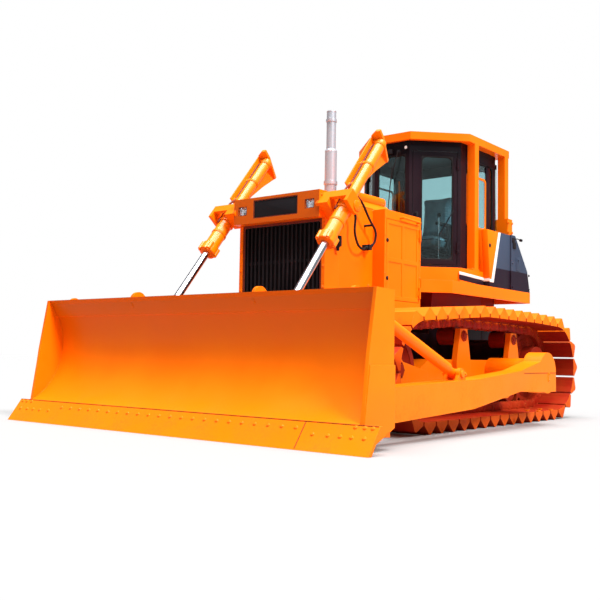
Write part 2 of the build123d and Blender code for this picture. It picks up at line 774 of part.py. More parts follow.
def window_blocks(gap, reach):
    """Windshield, rear window and side windows, `gap` inside their cuts: (x, y, z) pairs each."""
    front, rear = cab_x[1], cab_x[0]
    high = window_z[1] - gap
    face = reach if reach else glass_set
    back = cab_wall + reach if reach else glass_set + glass
    low = window_z[0] + gap
    return [((front - back, front - face + 2 * reach), about(0, cab_nose_half - front_jamb - gap),
             (windshield_z + gap, high)),
            ((rear + face - 2 * reach, rear + back), about(0, cab_half - rear_jamb - gap), (low, high)),
            ((side_x[0] + gap, side_x[1] - gap), (cab_half - back, cab_half - face + 2 * reach), (low, high))]


def make_cab():
    cab = plan_prism(cab_plan(0), (base_z + seat_gap, cab_top_z))
    cab -= plan_prism(cab_plan(cab_wall), (base_z - 1, cab_top_z + 1))
    for x, y, z in window_blocks(0, 1):
        cab -= both(box(x, y, z))
    opening = Box(2 * door_half, door_z[1] - door_z[0], 2.6 * cab_wall)
    return cab - both(slant_frame * Pos(0, sum(door_z) / 2, 0) * opening)


parts["cab_shell"] = make_cab() + both(cab_knuckles)
parts["cab_roof"] = plan_prism(cab_plan(0), (cab_top_z + seat_gap, canopy_z[0] - seat_gap))
windshield, rear_window, side_window = (box(*block) for block in window_blocks(seat_gap, 0))
parts["cab_glass"] = windshield + rear_window + both(side_window)

# Cab doors: a frame as thick as the wall, with its pane
leaf_size = (2 * (door_half - swing_gap), door_z[1] - door_z[0] - 2 * swing_gap)
pane_size = (leaf_size[0] - sum(door_stile), leaf_size[1] - 2 * door_rail)
door_seat = slant_frame * Pos(0, sum(door_z) / 2, -cab_wall / 2)
pane_seat = door_seat * Pos((door_stile[0] - door_stile[1]) / 2, 0, 0)
door_leaf = door_seat * Box(*leaf_size, cab_wall) - pane_seat * Box(*pane_size, 2 * cab_wall)
add_pair("cab_door", door_leaf + door_knuckles)
add_pair("door_glass", pane_seat * Box(pane_size[0] - 2 * seat_gap, pane_size[1] - 2 * seat_gap, glass))

# Rollover frame: canopy, front posts to the cab base, rear posts and their blocks to the tank
canopy_nose = canopy_x[1] - canopy_half + canopy_nose_half
canopy_plan = [(canopy_x[1], canopy_nose_half), (canopy_nose, canopy_half), (canopy_x[0], canopy_half)]
rollover = plan_prism(full_outline(canopy_plan), canopy_z)
# x pair, y pair and foot of each post or block on the left
post_width = about(post_y, post_size / 2)
block_front = post_x[0] + post_size / 2
block_x = (block_front - post_base[0], block_front)
post_top = canopy_z[0] + 1
posts = [(about(post_x[1], post_size / 2), post_width, base_z, post_top),
         (about(post_x[0], post_size / 2), post_width, tank_top_z, post_top),
         (block_x, about(post_y, post_base[1] / 2), tank_top_z, post_base[2])]
for x, y, foot, head in posts:
    rollover += both(box(x, y, (foot + seat_gap, head)))
parts["rollover_frame"] = rollover

parts["seat"] = (box(seat_x, about(0, seat_half), (base_z + seat_gap, seat_top_z))
                 + box(backrest_x, about(0, seat_half - 20), (seat_top_z - 30, backrest_top_z)))
parts["console"] = box(console_x, about(0, console_half), (base_z + seat_gap, console_top_z))

hitch_front = hull_x[0] - seat_gap
hitch = box((-half_length, hitch_front), about(0, hitch_half), hitch_z)
hitch += box((hitch_front - hitch_plate[0], hitch_front), about(0, hitch_plate[1]), hitch_plate[2:])
hitch -= Pos(-half_length + hitch_pin_back, 0, sum(hitch_z) / 2) * Cylinder(hitch_pin_r, 2 * hitch_z[1])
parts["drawbar"] = hitch


# Blade: moldboard, end plates, brackets on its back, and cutting edge
def at(back, up):
    """Point given by its distance behind the blade's tip and its height."""
    return (half_length - back, up)


def curve_face(thick):
    """Section of the moldboard between its front arc and the same arc moved back."""
    low_z = edge_height + seat_gap
    points = [at(edge_back, low_z), at(board_depth, (low_z + blade_height) / 2), at(board_top_back, blade_height)]

    def arc(shift):
        return ThreePointArc(*[(x - shift, 0, z) for x, z in points])
    front, back = arc(0), arc(thick)
    return make_face([front, Line(front @ 1, back @ 1), back, Line(back @ 0, front @ 0)])


def ear_pair(outline, boss, y, width, gap):
    """Two plates with a round end (x, z, radius), which straddle an eye of the given width, on the left."""
    reach = width / 2 + gap + ear_thick / 2
    spans = [about(y + side * reach, ear_thick / 2) for side in (-1, 1)]
    return [side_prism(outline, span) + cross_pin(*boss, span) for span in spans]


def make_moldboard():
    inner_half = blade_half - end_plate
    edge_rear = edge_back + edge_thick + 2
    beam_rear = board_top_back + beam_size[0]
    board = Pos(0, -inner_half, 0) * extrude(curve_face(board_thick), amount=2 * inner_half, dir=(0, 1, 0))
    beam = [at(board_top_back + 15, blade_height), at(beam_rear, blade_height),
            at(beam_rear, blade_height - beam_size[1]), at(board_top_back + 95, blade_height - beam_size[1])]
    sill = [at(edge_rear, edge_height), at(edge_rear, sill_z[0]), at(end_plate_rear, sill_z[0] - 20),
            at(end_plate_rear, sill_z[1]), at(board_depth - 60, sill_z[1])]
    board += [side_prism(beam, about(0, inner_half)), side_prism(sill, about(0, inner_half))]
    foot_back, foot_up = end_plate_foot
    edge_top = edge_height + seat_gap
    foot = [at(end_plate_rear, 165), at(foot_back, foot_up), at(edge_rear, foot_up), at(edge_rear, edge_top),
            at(160, edge_top)]
    middle = (edge_top + blade_height) / 2
    plate = foot + [at(225, middle), at(board_top_back, blade_height), at(end_plate_rear, blade_height - 10)]
    side_plate = foot + [at(225, side_plate_top), at(end_plate_rear, side_plate_top)]
    board += both(side_prism(plate, (inner_half, blade_half)))
    board += both(side_prism(side_plate, (blade_half - 1, blade_half + side_plate_thick)))
    lift_ear = [at(beam_rear - 5, eye_z + 150), at(eye_back - 25, eye_z + 65), at(eye_back, eye_z - 70),
                at(end_plate_rear - 80, sill_z[1] - 20), at(board_depth + 10, middle)]
    top_back, top_up = brace_top
    brace_ear = [at(board_depth - 30, top_up + 75), at(top_back, top_up + 50), at(top_back, top_up - 50),
                 at(board_depth, top_up - 150)]
    eye_at, top_at = at(eye_back, eye_z), at(*brace_top)
    for ear in (ear_pair(lift_ear, (*eye_at, eye_ear_r), lift_y, eye_width, swing_gap)
                + ear_pair(brace_ear, (*top_at, brace_ear_r), arm_y, brace_eye_width, seat_gap)):
        board += both(ear)
    rib = extrude(curve_face(rib_depth), amount=rib_thick, dir=(0, 1, 0))
    for y in rib_y:
        board += both(Pos(0, y - rib_thick / 2, 0) * rib)
    for y, radius in blade_lugs:
        board += both(cross_pin(*at(lug_back, blade_height + lug_up), radius, about(y, lug_thick / 2)))
    return board


parts["moldboard"] = make_moldboard()
parts["cutting_edge"] = side_prism(
    [at(0, 0), at(edge_back, edge_height), at(edge_back + edge_thick, edge_height), at(edge_low, 0)],
    about(0, edge_half))

# Push arms with their bearing heads, and the braces from arm to blade
brace_start = Vector(brace_foot[0], arm_y, brace_foot[1])
brace_end = Vector(half_length - brace_top[0], arm_y, brace_top[1])
brace_along = (brace_end - brace_start).normalized()
brace_length = (brace_end - brace_start).length
neck_start = brace_eye_r - 8


def on_brace(distance):
    """Point on the brace's axis, measured from its foot."""
    return tuple(brace_start + brace_along * distance)


def make_brace(body):
    """Brace with both eyes and necks; body is a list of (start, end, radius) along it."""
    eye_y = about(arm_y, brace_eye_width / 2)
    brace = cross_pin(brace_start.X, brace_start.Z, brace_eye_r, eye_y)
    brace += cross_pin(brace_end.X, brace_end.Z, brace_eye_r, eye_y)
    brace += rod_between(on_brace(neck_start), on_brace(brace_length - neck_start), brace_neck_r)
    for start, end, radius in body:
        brace += rod_between(on_brace(start), on_brace(end), radius)
    return brace


def make_arm():
    """Box arm with a bearing head that is closed on its outside, and the brace's lug on its top."""
    arm_span = about(arm_y, arm_width / 2)
    front = end_plate_rear + seat_gap
    head_low = trunnion_z - trunnion_head_foot
    # the arm's top edge from the blade to its head, then its lower edge back
    outline = [at(front, 170), at(front, 445), at(820, 464), (trunnion_x + 1562, 509), (trunnion_x + 675, 579),
               (trunnion_x + 60, 700), (trunnion_x - trunnion_head_r, trunnion_z),
               (trunnion_x - trunnion_head_r, head_low), (trunnion_x + trunnion_head_r, head_low),
               (trunnion_x + 675, 375), (trunnion_x + 1668, 240)]
    arm = side_prism(outline, arm_span) + cross_pin(trunnion_x, trunnion_z, trunnion_head_r, arm_span)
    arm -= cross_pin(trunnion_x, trunnion_z, trunnion_r + running_gap,
                     (arm_span[0] - 1, arm_span[1] - trunnion_wall))
    foot_x, foot_z = brace_foot
    lug = [(foot_x - 100, foot_z - 95), (foot_x + 100, foot_z - 95), (foot_x + 50, foot_z), (foot_x - 50, foot_z)]
    return arm + ear_pair(lug, (foot_x, foot_z, brace_ear_r), arm_y, brace_eye_width, seat_gap)


add_pair("push_arm", make_arm())
parts["blade_brace"] = make_brace([(brace_neck, brace_length - brace_neck, brace_r)])
parts["tilt_cylinder"] = mirror_y(make_brace([(brace_neck, brace_neck + tilt_barrel_length, tilt_barrel_r)]))

# Lift cylinders, cut open at the rod's eye; both are the same part, with the pipe plate on its right
def make_barrel():
    """Barrel and gland below the trunnion, and above it a slim tube with the plate over its pipes."""
    trunnion_reach = yoke_ear + yoke_cheek
    lobe_from, lobe_to = Vector(*on_axis(gland_down - gland_length)), Vector(*on_axis(gland_down))
    barrel = rod_between(on_axis(-cover_tube_end), on_axis(gland_down), barrel_r)
    barrel += rod_between(lobe_from, lobe_to, gland_r)
    for turn in (45, 135, 225, 315):
        out = Vector(0, math.cos(math.radians(turn)), 0) + ahead * math.sin(math.radians(turn))
        barrel += rod_between(lobe_from + out * gland_lobe_at, lobe_to + out * gland_lobe_at, gland_lobe_r)
    barrel += rod_between(on_axis(-collar_half), on_axis(collar_half), collar_r)
    barrel += cross_pin(yoke_x, yoke_z, yoke_pin_r, about(lift_y, trunnion_reach))
    barrel += rod_between(on_axis(-cap_up), on_axis(0), cover_tube_r) + Pos(*on_axis(-cap_up)) * Sphere(cover_tube_r)
    plate_y = (lift_y - pipe_plate_y[1], lift_y - pipe_plate_y[0])
    corners = [pin - down * up + ahead * forward for up, forward in pipe_plate]
    barrel += side_prism([(spot.X, spot.Z) for spot in corners], plate_y)
    for up in pipe_web_up:
        barrel += yoke_prism((-up - pipe_web_thick, -up), about(0, pipe_web_half), (plate_y[1] - 1, lift_y))
    roof_frame = Plane(origin=on_axis(-roof_plate_up[1]), x_dir=(0, 1, 0), z_dir=tuple(down))
    roof = extrude(make_face(Polyline(*roof_plate, close=True)), amount=roof_plate_up[1] - roof_plate_up[0])
    barrel += roof_frame * roof
    return barrel - rod_between(on_axis(-cap_up + cap_thick), on_axis(gland_down + 1), rod_r + running_gap)


def make_rod():
    rod = rod_between(on_axis(-rod_inside), on_axis((eye - pin).length - eye_r + 8), rod_r)
    rod += cross_pin(eye.X, eye.Z, eye_r, about(lift_y, eye_width / 2))
    return rod - cross_pin(eye.X, eye.Z, eye_bore_r, about(lift_y, eye_width))


for name, shape in (("lift_barrel", make_barrel()), ("lift_rod", make_rod())):
    parts[f"{name}_left"] = shape
    parts[f"{name}_right"] = Pos(0, -2 * lift_y, 0) * shape

os.makedirs("parts", exist_ok=True)
for name, shape in parts.items():
    shape.label = name
    export_step(shape, f"parts/{name}.step")
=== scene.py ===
import math

import bmesh
import bpy
from mathutils import Matrix, Vector


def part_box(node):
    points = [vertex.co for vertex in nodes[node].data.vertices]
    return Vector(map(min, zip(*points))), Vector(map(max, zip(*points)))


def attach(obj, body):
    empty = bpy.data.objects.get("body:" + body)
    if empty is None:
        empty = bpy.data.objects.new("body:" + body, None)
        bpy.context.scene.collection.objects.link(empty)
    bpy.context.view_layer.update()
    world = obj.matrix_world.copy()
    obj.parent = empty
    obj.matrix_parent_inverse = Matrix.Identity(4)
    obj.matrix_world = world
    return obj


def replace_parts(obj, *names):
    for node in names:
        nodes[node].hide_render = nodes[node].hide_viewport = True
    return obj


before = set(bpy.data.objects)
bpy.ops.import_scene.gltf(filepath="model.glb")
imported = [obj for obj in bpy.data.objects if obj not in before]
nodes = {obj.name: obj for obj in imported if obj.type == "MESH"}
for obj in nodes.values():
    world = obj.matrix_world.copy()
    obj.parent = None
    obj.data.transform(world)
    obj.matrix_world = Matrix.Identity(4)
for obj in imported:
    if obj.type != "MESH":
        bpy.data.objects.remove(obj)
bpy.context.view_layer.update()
print("frame loaded")


def addObject(name, data):
    made = bpy.data.objects.new(name, data)
    bpy.context.scene.collection.objects.link(made)
    return made


# Camera at the photograph's viewing angle, pale floor, soft light from the machine's left
cameraView = {"place": (7.824, 5.520, 0.695), "yaw": 218.681, "pitch": 3.704, "roll": 1.007,
              "sensor": 36.0, "lens": 51.39, "far": 200}


def placeCamera(view):
    data = bpy.data.cameras.new("camera")
    data.sensor_width = view["sensor"]
    data.lens = view["lens"]
    data.clip_end = view["far"]
    camera = addObject("camera", data)
    turn = (Matrix.Rotation(math.radians(view["yaw"] - 90), 4, "Z")
            @ Matrix.Rotation(math.radians(90 + view["pitch"]), 4, "X")
            @ Matrix.Rotation(math.radians(view["roll"]), 4, "Z"))
    camera.matrix_world = Matrix.Translation(view["place"]) @ turn
    bpy.context.scene.camera = camera


# each sun: strength, angle and where it comes from
studio = {"floorRadius": 90, "floorColour": (0.29, 0.29, 0.29, 1), "floorRoughness": 0.9,
          "white": (1, 1, 1, 1), "worldStrength": 0.30,
          "suns": {"keyLight": (3.3, 12, (0.14, 0.76, 0.63)), "overheadLight": (7.6, 55, (0.06, 0.10, 1.0))}}


def addFloor(s):
    bm = bmesh.new()
    bmesh.ops.create_circle(bm, cap_ends=True, segments=64, radius=s["floorRadius"])
    mesh = bpy.data.meshes.new("floor")
    bm.to_mesh(mesh)
    bm.free()
    paint = bpy.data.materials.new("paleFloor")
    paint.use_nodes = True
    shader = paint.node_tree.nodes["Principled BSDF"]
    shader.inputs["Base Color"].default_value = s["floorColour"]
    shader.inputs["Roughness"].default_value = s["floorRoughness"]
    mesh.materials.append(paint)
    floor = addObject("floor", mesh)


def addLight(s):
    for name, (strength, angle, come) in s["suns"].items():
        sun = bpy.data.lights.new(name, "SUN")
        sun.energy = strength
        sun.angle = math.radians(angle)
        addObject(name, sun).rotation_euler = Vector(come).to_track_quat("Z", "Y").to_euler()
    world = bpy.data.worlds.new("studioWorld")
    bpy.context.scene.world = world
    world.use_nodes = True
    tree = world.node_tree
    lit = tree.nodes["Background"]
    lit.inputs["Color"].default_value = s["white"]
    lit.inputs["Strength"].default_value = s["worldStrength"]
    seen = tree.nodes.new("ShaderNodeBackground")  # what the camera sees behind the floor
    seen.inputs["Color"].default_value = s["white"]
    path = tree.nodes.new("ShaderNodeLightPath")
    either = tree.nodes.new("ShaderNodeMath")
    either.operation = "MAXIMUM"
    mix = tree.nodes.new("ShaderNodeMixShader")
    tree.links.new(path.outputs["Is Camera Ray"], either.inputs[0])
    tree.links.new(path.outputs["Is Transmission Ray"], either.inputs[1])
    tree.links.new(either.outputs["Value"], mix.inputs["Fac"])
    tree.links.new(lit.outputs["Background"], mix.inputs[1])
    tree.links.new(seen.outputs["Background"], mix.inputs[2])
    tree.links.new(mix.outputs["Shader"], tree.nodes["World Output"].inputs["Surface"])
    bpy.context.scene.view_settings.view_transform = "Standard"


placeCamera(cameraView)
addFloor(studio)
addLight(studio)
print("camera and studio ready")


# Shader nodes that several finishes share
def feed(tree, socket, value):
    # a number or a colour is set on the socket, another socket is linked to it
    if isinstance(value, (int, float)):
        socket.default_value = value
    elif isinstance(value, tuple):
        socket.default_value = (*value, 1)
    else:
        tree.links.new(value, socket)


def addMath(tree, operation, first, second=None, clamp=False):
    node = tree.nodes.new("ShaderNodeMath")
    node.operation = operation
    node.use_clamp = clamp
    feed(tree, node.inputs[0], first)
    if second is not None:
        feed(tree, node.inputs[1], second)
    return node.outputs["Value"]


def allOf(tree, mask, *others):
    for other in others:
        mask = addMath(tree, "MULTIPLY", mask, other)
    return mask


def anyOf(tree, first, second):
    return addMath(tree, "MAXIMUM", first, second)


def objectPlace(tree):
    return tree.nodes.new("ShaderNodeTexCoord").outputs["Object"]


def addNoise(tree, scale, detail=4, roughness=0.55, stretch=None):
    place = objectPlace(tree)
    if stretch:
        mapping = tree.nodes.new("ShaderNodeMapping")
        mapping.inputs["Scale"].default_value = stretch
        tree.links.new(place, mapping.inputs["Vector"])
        place = mapping.outputs["Vector"]
    noise = tree.nodes.new("ShaderNodeTexNoise")
    tree.links.new(place, noise.inputs["Vector"])
    for label, value in (("Scale", scale), ("Detail", detail), ("Roughness", roughness)):
        feed(tree, noise.inputs[label], value)
    return noise.outputs["Fac"]


def addRange(tree, value, low, high, toLow=0.0, toHigh=1.0):
    node = tree.nodes.new("ShaderNodeMapRange")
    node.interpolation_type = "SMOOTHSTEP"
    for label, number in (("Value", value), ("From Min", low), ("From Max", high),
                          ("To Min", toLow), ("To Max", toHigh)):
        feed(tree, node.inputs[label], number)
    return node.outputs["Result"]


def addMix(tree, mask, first, second):
    node = tree.nodes.new("ShaderNodeMix")
    node.data_type = "RGBA"
    for label, value in (("Factor", mask), ("A", first), ("B", second)):
        feed(tree, next(s for s in node.inputs if s.name == label and s.enabled), value)
    return next(s for s in node.outputs if s.enabled)


def startGroup(name, inputs, outputs):
    group = bpy.data.node_groups.new(name, "ShaderNodeTree")
    for label, value in inputs.items():
        socket = group.interface.new_socket(label, in_out="INPUT", socket_type="NodeSocketFloat")
        socket.default_value = value
    for label, kind in outputs.items():
        group.interface.new_socket(label, in_out="OUTPUT", socket_type=kind)
    return group, group.nodes.new("NodeGroupInput"), group.nodes.new("NodeGroupOutput")


wearLook = {"samples": 6, "corner": (0.995, 0.86), "patches": (0.42, 0.66)}


# edges turn to a lighter colour, for wear and for painted highlight
def makeEdgeWearAndHighlight(w):
    group, inlet, outlet = startGroup("edgeWearAndHighlight", {"Radius": 0.004, "Amount": 0.5, "Break Up": 22},
                                      {"Mask": "NodeSocketFloat", "Normal": "NodeSocketVector"})
    bevel = group.nodes.new("ShaderNodeBevel")
    bevel.samples = w["samples"]
    group.links.new(inlet.outputs["Radius"], bevel.inputs["Radius"])
    flat = group.nodes.new("ShaderNodeNewGeometry")
    dot = group.nodes.new("ShaderNodeVectorMath")
    dot.operation = "DOT_PRODUCT"
    group.links.new(bevel.outputs["Normal"], dot.inputs[0])
    group.links.new(flat.outputs["Normal"], dot.inputs[1])
    edge = addRange(group, dot.outputs["Value"], *w["corner"])
    broken = addRange(group, addNoise(group, inlet.outputs["Break Up"]), *w["patches"])
    edgeWornAndLit = addMath(group, "MULTIPLY", allOf(group, edge, broken), inlet.outputs["Amount"], clamp=True)
    group.links.new(edgeWornAndLit, outlet.inputs["Mask"])
    group.links.new(bevel.outputs["Normal"], outlet.inputs["Normal"])
    return group


def makeSurfaceGrain():
    group, inlet, outlet = startGroup(
        "surfaceGrain", {"Fine Scale": 260, "Broad Scale": 1.6, "Broad Share": 0.5},
        {"Height": "NodeSocketFloat", "Variation": "NodeSocketFloat"})
    fine = addNoise(group, inlet.outputs["Fine Scale"], detail=2)
    broad = addNoise(group, inlet.outputs["Broad Scale"], detail=5)
    share = addMath(group, "MULTIPLY", broad, inlet.outputs["Broad Share"])
    group.links.new(addMath(group, "ADD", fine, share), outlet.inputs["Height"])
    group.links.new(broad, outlet.inputs["Variation"])
    return group


dustAndShadeLook = {"patchScale": 3.2, "patches": (0.34, 0.70), "speckScale": 45, "specks": (0.40, 0.62, 0.45, 1.0)}


def makeGroundDustAndShade(d):
    # dust and painted shade, darker towards the ground: thickest at the ground, gone at the height of the
    # socket Top
    group, inlet, outlet = startGroup("groundDustAndShade", {"Top": 1.1, "Amount": 0.5}, {"Mask": "NodeSocketFloat"})
    split = group.nodes.new("ShaderNodeSeparateXYZ")
    group.links.new(objectPlace(group), split.inputs["Vector"])
    low = addRange(group, split.outputs["Z"], inlet.outputs["Top"], 0.0)
    patches = addRange(group, addNoise(group, d["patchScale"], detail=7, roughness=0.65), *d["patches"])
    specks = addRange(group, addNoise(group, d["speckScale"], detail=3), *d["specks"])
    mask = addMath(group, "MULTIPLY", allOf(group, low, patches, specks), inlet.outputs["Amount"], clamp=True)
    group.links.new(mask, outlet.inputs["Mask"])
    return group


groups = {"edge": makeEdgeWearAndHighlight(wearLook), "grain": makeSurfaceGrain(), "dustAndShade": makeGroundDustAndShade(dustAndShadeLook)}
print("node groups ready")


# Materials
def startMaterial(name, roughness, metallic=0.0, coat=0.0, specular=0.5):
    material = bpy.data.materials.new(name)
    material.use_nodes = True
    shader = material.node_tree.nodes["Principled BSDF"]
    for label, value in (("Roughness", roughness), ("Metallic", metallic), ("Coat Weight", coat),
                         ("Coat Roughness", 0.12), ("Specular IOR Level", specular)):
        shader.inputs[label].default_value = value
    return material, material.node_tree, shader


def useGroup(tree, name, values):
    node = tree.nodes.new("ShaderNodeGroup")
    node.node_tree = groups[name]
    for label, value in values.items():
        node.inputs[label].default_value = value
    return node.outputs


def addBump(tree, shader, height, strength, distance, normal=None):
    bump = tree.nodes.new("ShaderNodeBump")
    bump.inputs["Strength"].default_value = strength
    bump.inputs["Distance"].default_value = distance
    tree.links.new(height, bump.inputs["Height"])
    if normal is not None:
        tree.links.new(normal, bump.inputs["Normal"])
    tree.links.new(bump.outputs["Normal"], shader.inputs["Normal"])


paintLook = {"roughness": 0.36, "coat": 0.03, "specular": 0.10, "patches": (0.30, 0.72), "tint": None,
             "radius": 0.004, "wear": 0.35, "dustAndShade": 0.35, "dustAndShadeTop": 1.0, "dustAndShadeColour": (0.30, 0.050, 0.008),
             "roughPatches": (0.25, 0.75), "smoother": 0.06, "rougher": 0.10, "dustRoughness": 0.4,
             "bump": 0.12, "grainDepth": 0.0006}


def makePaint(name, colours, **changes):
    # enamel over steel; tint(tree, colour) may paint areas before the lighter edges of wear and painted
    # highlight, and the low dust and painted shade, are laid on
    look = {**paintLook, **changes}
    fresh, faded, edgeColour = colours
    material, tree, shader = startMaterial(name, look["roughness"], coat=look["coat"],
                                           specular=look["specular"])
    grain = useGroup(tree, "grain", {})
    edge = useGroup(tree, "edge", {"Radius": look["radius"], "Amount": look["wear"]})
    dustShadeMask = useGroup(tree, "dustAndShade", {"Top": look["dustAndShadeTop"], "Amount": look["dustAndShade"]})["Mask"]
    base = addMix(tree, addRange(tree, grain["Variation"], *look["patches"]), fresh, faded)
    if look["tint"]:
        base = look["tint"](tree, base)
    base = addMix(tree, edge["Mask"], base, edgeColour)
    base = addMix(tree, dustShadeMask, base, look["dustAndShadeColour"])
    tree.links.new(base, shader.inputs["Base Color"])
    rough = addRange(tree, grain["Variation"], *look["roughPatches"], look["roughness"] - look["smoother"],
                     look["roughness"] + look["rougher"])
    rough = addMath(tree, "ADD", rough, addMath(tree, "MULTIPLY", dustShadeMask, look["dustRoughness"]), clamp=True)
    tree.links.new(rough, shader.inputs["Roughness"])
    addBump(tree, shader, grain["Height"], look["bump"], look["grainDepth"], edge["Normal"])
    return material


metalLook = {"metallic": 1.0, "fine": 180, "streak": None, "streakScale": 9, "streakDetail": 6,
             "patches": (0.35, 0.68), "radius": 0.002, "wear": 0.5, "edgeWornAndLit": (0.62, 0.60, 0.57),
             "roughPatches": (0.30, 0.70), "smoother": 0.05, "rougher": 0.12, "bump": 0.15,
             "grainDepth": 0.0008}


def makeMetal(name, colours, roughness, **changes):
    look = {**metalLook, **changes}
    material, tree, shader = startMaterial(name, roughness, look["metallic"])
    grain = useGroup(tree, "grain", {"Fine Scale": look["fine"]})
    edge = useGroup(tree, "edge", {"Radius": look["radius"], "Amount": look["wear"]})
    pattern = grain["Variation"]
    if look["streak"]:
        pattern = addNoise(tree, look["streakScale"], detail=look["streakDetail"], stretch=look["streak"])
    base = addMix(tree, addRange(tree, pattern, *look["patches"]), *colours)
    tree.links.new(addMix(tree, edge["Mask"], base, look["edgeWornAndLit"]), shader.inputs["Base Color"])
    rough = addRange(tree, pattern, *look["roughPatches"], roughness - look["smoother"],
                     roughness + look["rougher"])
    tree.links.new(rough, shader.inputs["Roughness"])
    addBump(tree, shader, grain["Height"], look["bump"], look["grainDepth"], edge["Normal"])
    return material


glassLook = {"ior": 1.45, "smearScale": 6, "smears": (0.45, 0.75), "smearRoughness": 0.05}


def makeGlass(name, tint, roughness):
    material, tree, shader = startMaterial(name, roughness)
    shader.inputs["Base Color"].default_value = (*tint, 1)
    shader.inputs["Transmission Weight"].default_value = 1.0
    shader.inputs["IOR"].default_value = glassLook["ior"]
    smear = addRange(tree, addNoise(tree, glassLook["smearScale"], detail=5), *glassLook["smears"], roughness,
                     roughness + glassLook["smearRoughness"])
    tree.links.new(smear, shader.inputs["Roughness"])
    clear = tree.nodes.new("ShaderNodeBsdfTransparent")  # lets light through to what is behind the pane
    clear.inputs["Color"].default_value = (*tint, 1)
    path = tree.nodes.new("ShaderNodeLightPath")
    mix = tree.nodes.new("ShaderNodeMixShader")
    tree.links.new(path.outputs["Is Shadow Ray"], mix.inputs["Fac"])
    tree.links.new(shader.outputs["BSDF"], mix.inputs[1])
    tree.links.new(clear.outputs["BSDF"], mix.inputs[2])
    tree.links.new(mix.outputs["Shader"], tree.nodes["Material Output"].inputs["Surface"])
    return material


clothLook = {"roughness": 0.85, "specular": 0.2, "sheen": 0.35, "threads": 160, "uneven": 0.6,
             "soilScale": 7, "soil": (0.35, 0.7), "bump": 0.35, "threadDepth": 0.0006}


def makeCloth(name, colours):
    # woven cover: crossed threads in the bump, with a soft sheen
    material, tree, shader = startMaterial(name, clothLook["roughness"], specular=clothLook["specular"])
    shader.inputs["Sheen Weight"].default_value = clothLook["sheen"]
    waves = []
    for direction in ("X", "Z"):
        wave = tree.nodes.new("ShaderNodeTexWave")
        wave.bands_direction = direction
        wave.inputs["Scale"].default_value = clothLook["threads"]
        wave.inputs["Distortion"].default_value = clothLook["uneven"]
        tree.links.new(objectPlace(tree), wave.inputs["Vector"])
        waves.append(wave.outputs["Fac"])
    soil = addRange(tree, addNoise(tree, clothLook["soilScale"], detail=6), *clothLook["soil"])
    tree.links.new(addMix(tree, soil, *colours), shader.inputs["Base Color"])
    addBump(tree, shader, anyOf(tree, *waves), clothLook["bump"], clothLook["threadDepth"])
    return material


# Tints by place, most of them painted light and shade: each range is an axis with the values of no tint and
# full tint, alike on both sides
def addAlong(tree, vector, axis, low, high):
    split = tree.nodes.new("ShaderNodeSeparateXYZ")
    tree.links.new(vector, split.inputs["Vector"])
    value = split.outputs[axis]
    return addRange(tree, addMath(tree, "ABSOLUTE", value) if axis == "Y" else value, low, high)


def addFacing(tree, axis, low, high):
    # how far the surface turns along an axis
    return addAlong(tree, tree.nodes.new("ShaderNodeNewGeometry").outputs["Normal"], axis, low, high)


def addHeight(tree, axis, low, high):
    # where the surface lies along an axis, in metres
    return addAlong(tree, objectPlace(tree), axis, low, high)


shoeLightTint = {"top": ("Z", 0.80, 1.05), "up": ("Z", 0.15, 0.35), "outer": ("Y", 1.572, 1.577),
            "inner": ("Y", 0.678, 0.673), "ends": ("Y", 0.6, 0.8), "lowerShare": 0.45,
            "patchScale": 5, "patches": (0.25, 0.55, 0.70, 1.0)}
rollerShadeTint = {"inner": ("Y", 1.016, 1.020), "outer": ("Y", 1.232, 1.228), "carriers": ("Z", 0.72, 0.74),
              "rollers": ("Z", 0.252, 0.248)}


def paintShoeLightAndShade(tree, base):
    # painted light and shade: orange where light falls on the shoes' ends, less of it on the lower run, and
    # on the upward faces of the top run, over the dark red of oxide and shade
    t = shoeLightTint
    top = addHeight(tree, *t["top"])
    flanks = anyOf(tree, addHeight(tree, *t["outer"]), addHeight(tree, *t["inner"]))
    share = addRange(tree, top, 0.0, 1.0, t["lowerShare"], 1.0)
    ends = allOf(tree, addFacing(tree, *t["ends"]), flanks, share)
    mask = anyOf(tree, ends, allOf(tree, addFacing(tree, *t["up"]), top))
    patchy = addRange(tree, addNoise(tree, t["patchScale"], detail=6), *t["patches"])
    return addMix(tree, allOf(tree, mask, patchy), base, orange)


def paintRollerShade(tree, base):
    # painted shade: the carrier rollers and the track rollers are dark red beside the orange frame
    t = rollerShadeTint
    away = anyOf(tree, addHeight(tree, *t["carriers"]), addHeight(tree, *t["rollers"]))
    mask = allOf(tree, addHeight(tree, *t["inner"]), addHeight(tree, *t["outer"]), away)
    return addMix(tree, mask, base, rollerShadeRed)


def makeTint(colour, places, turns=()):
    # a colour where all the given places and directions hold
    def tint(tree, base):
        masks = [addHeight(tree, *place) for place in places] + [addFacing(tree, *turn) for turn in turns]
        return addMix(tree, allOf(tree, *masks), base, colour)
    return tint


paintHullShade = makeTint((0.010, 0.002, 0.004), [("Z", 1.22, 1.10)])  # painted shade: nearly black low on the hull
# painted shade: the top of the moldboard's front curves to face down and is painted deeper
paintBladeShade = makeTint((0.60, 0.098, 0.0), [("Z", 0.55, 1.25)], [("X", 0.4, 0.8)])  # deeper to the top
# painted shade: a deeper orange between the lamps, on the header's front under the visor
paintHeaderShade = makeTint((0.56, 0.092, 0.004), [("Z", 2.024, 2.030), ("Y", 0.5585, 0.5575)], [("X", 0.6, 0.8)])
paintCab = makeTint((0.004, 0.002, 0.004), [("Z", 2.98, 3.14)])  # nearly black in the canopy's shade
paintTank = makeTint((0.016, 0.009, 0.018), [("Z", 1.806, 1.798)])  # the lower half is darker

orange = (0.93, 0.160, 0.0)
# lighter orange at the edges, for wear and painted highlight
orangeWornAndLit = (0.95, 0.31, 0.03)
# painted shade: dark red for the rollers' orange in shade
rollerShadeRed = (0.22, 0.010, 0.003)
orangeSet = (orange, (0.96, 0.182, 0.0005), orangeWornAndLit)
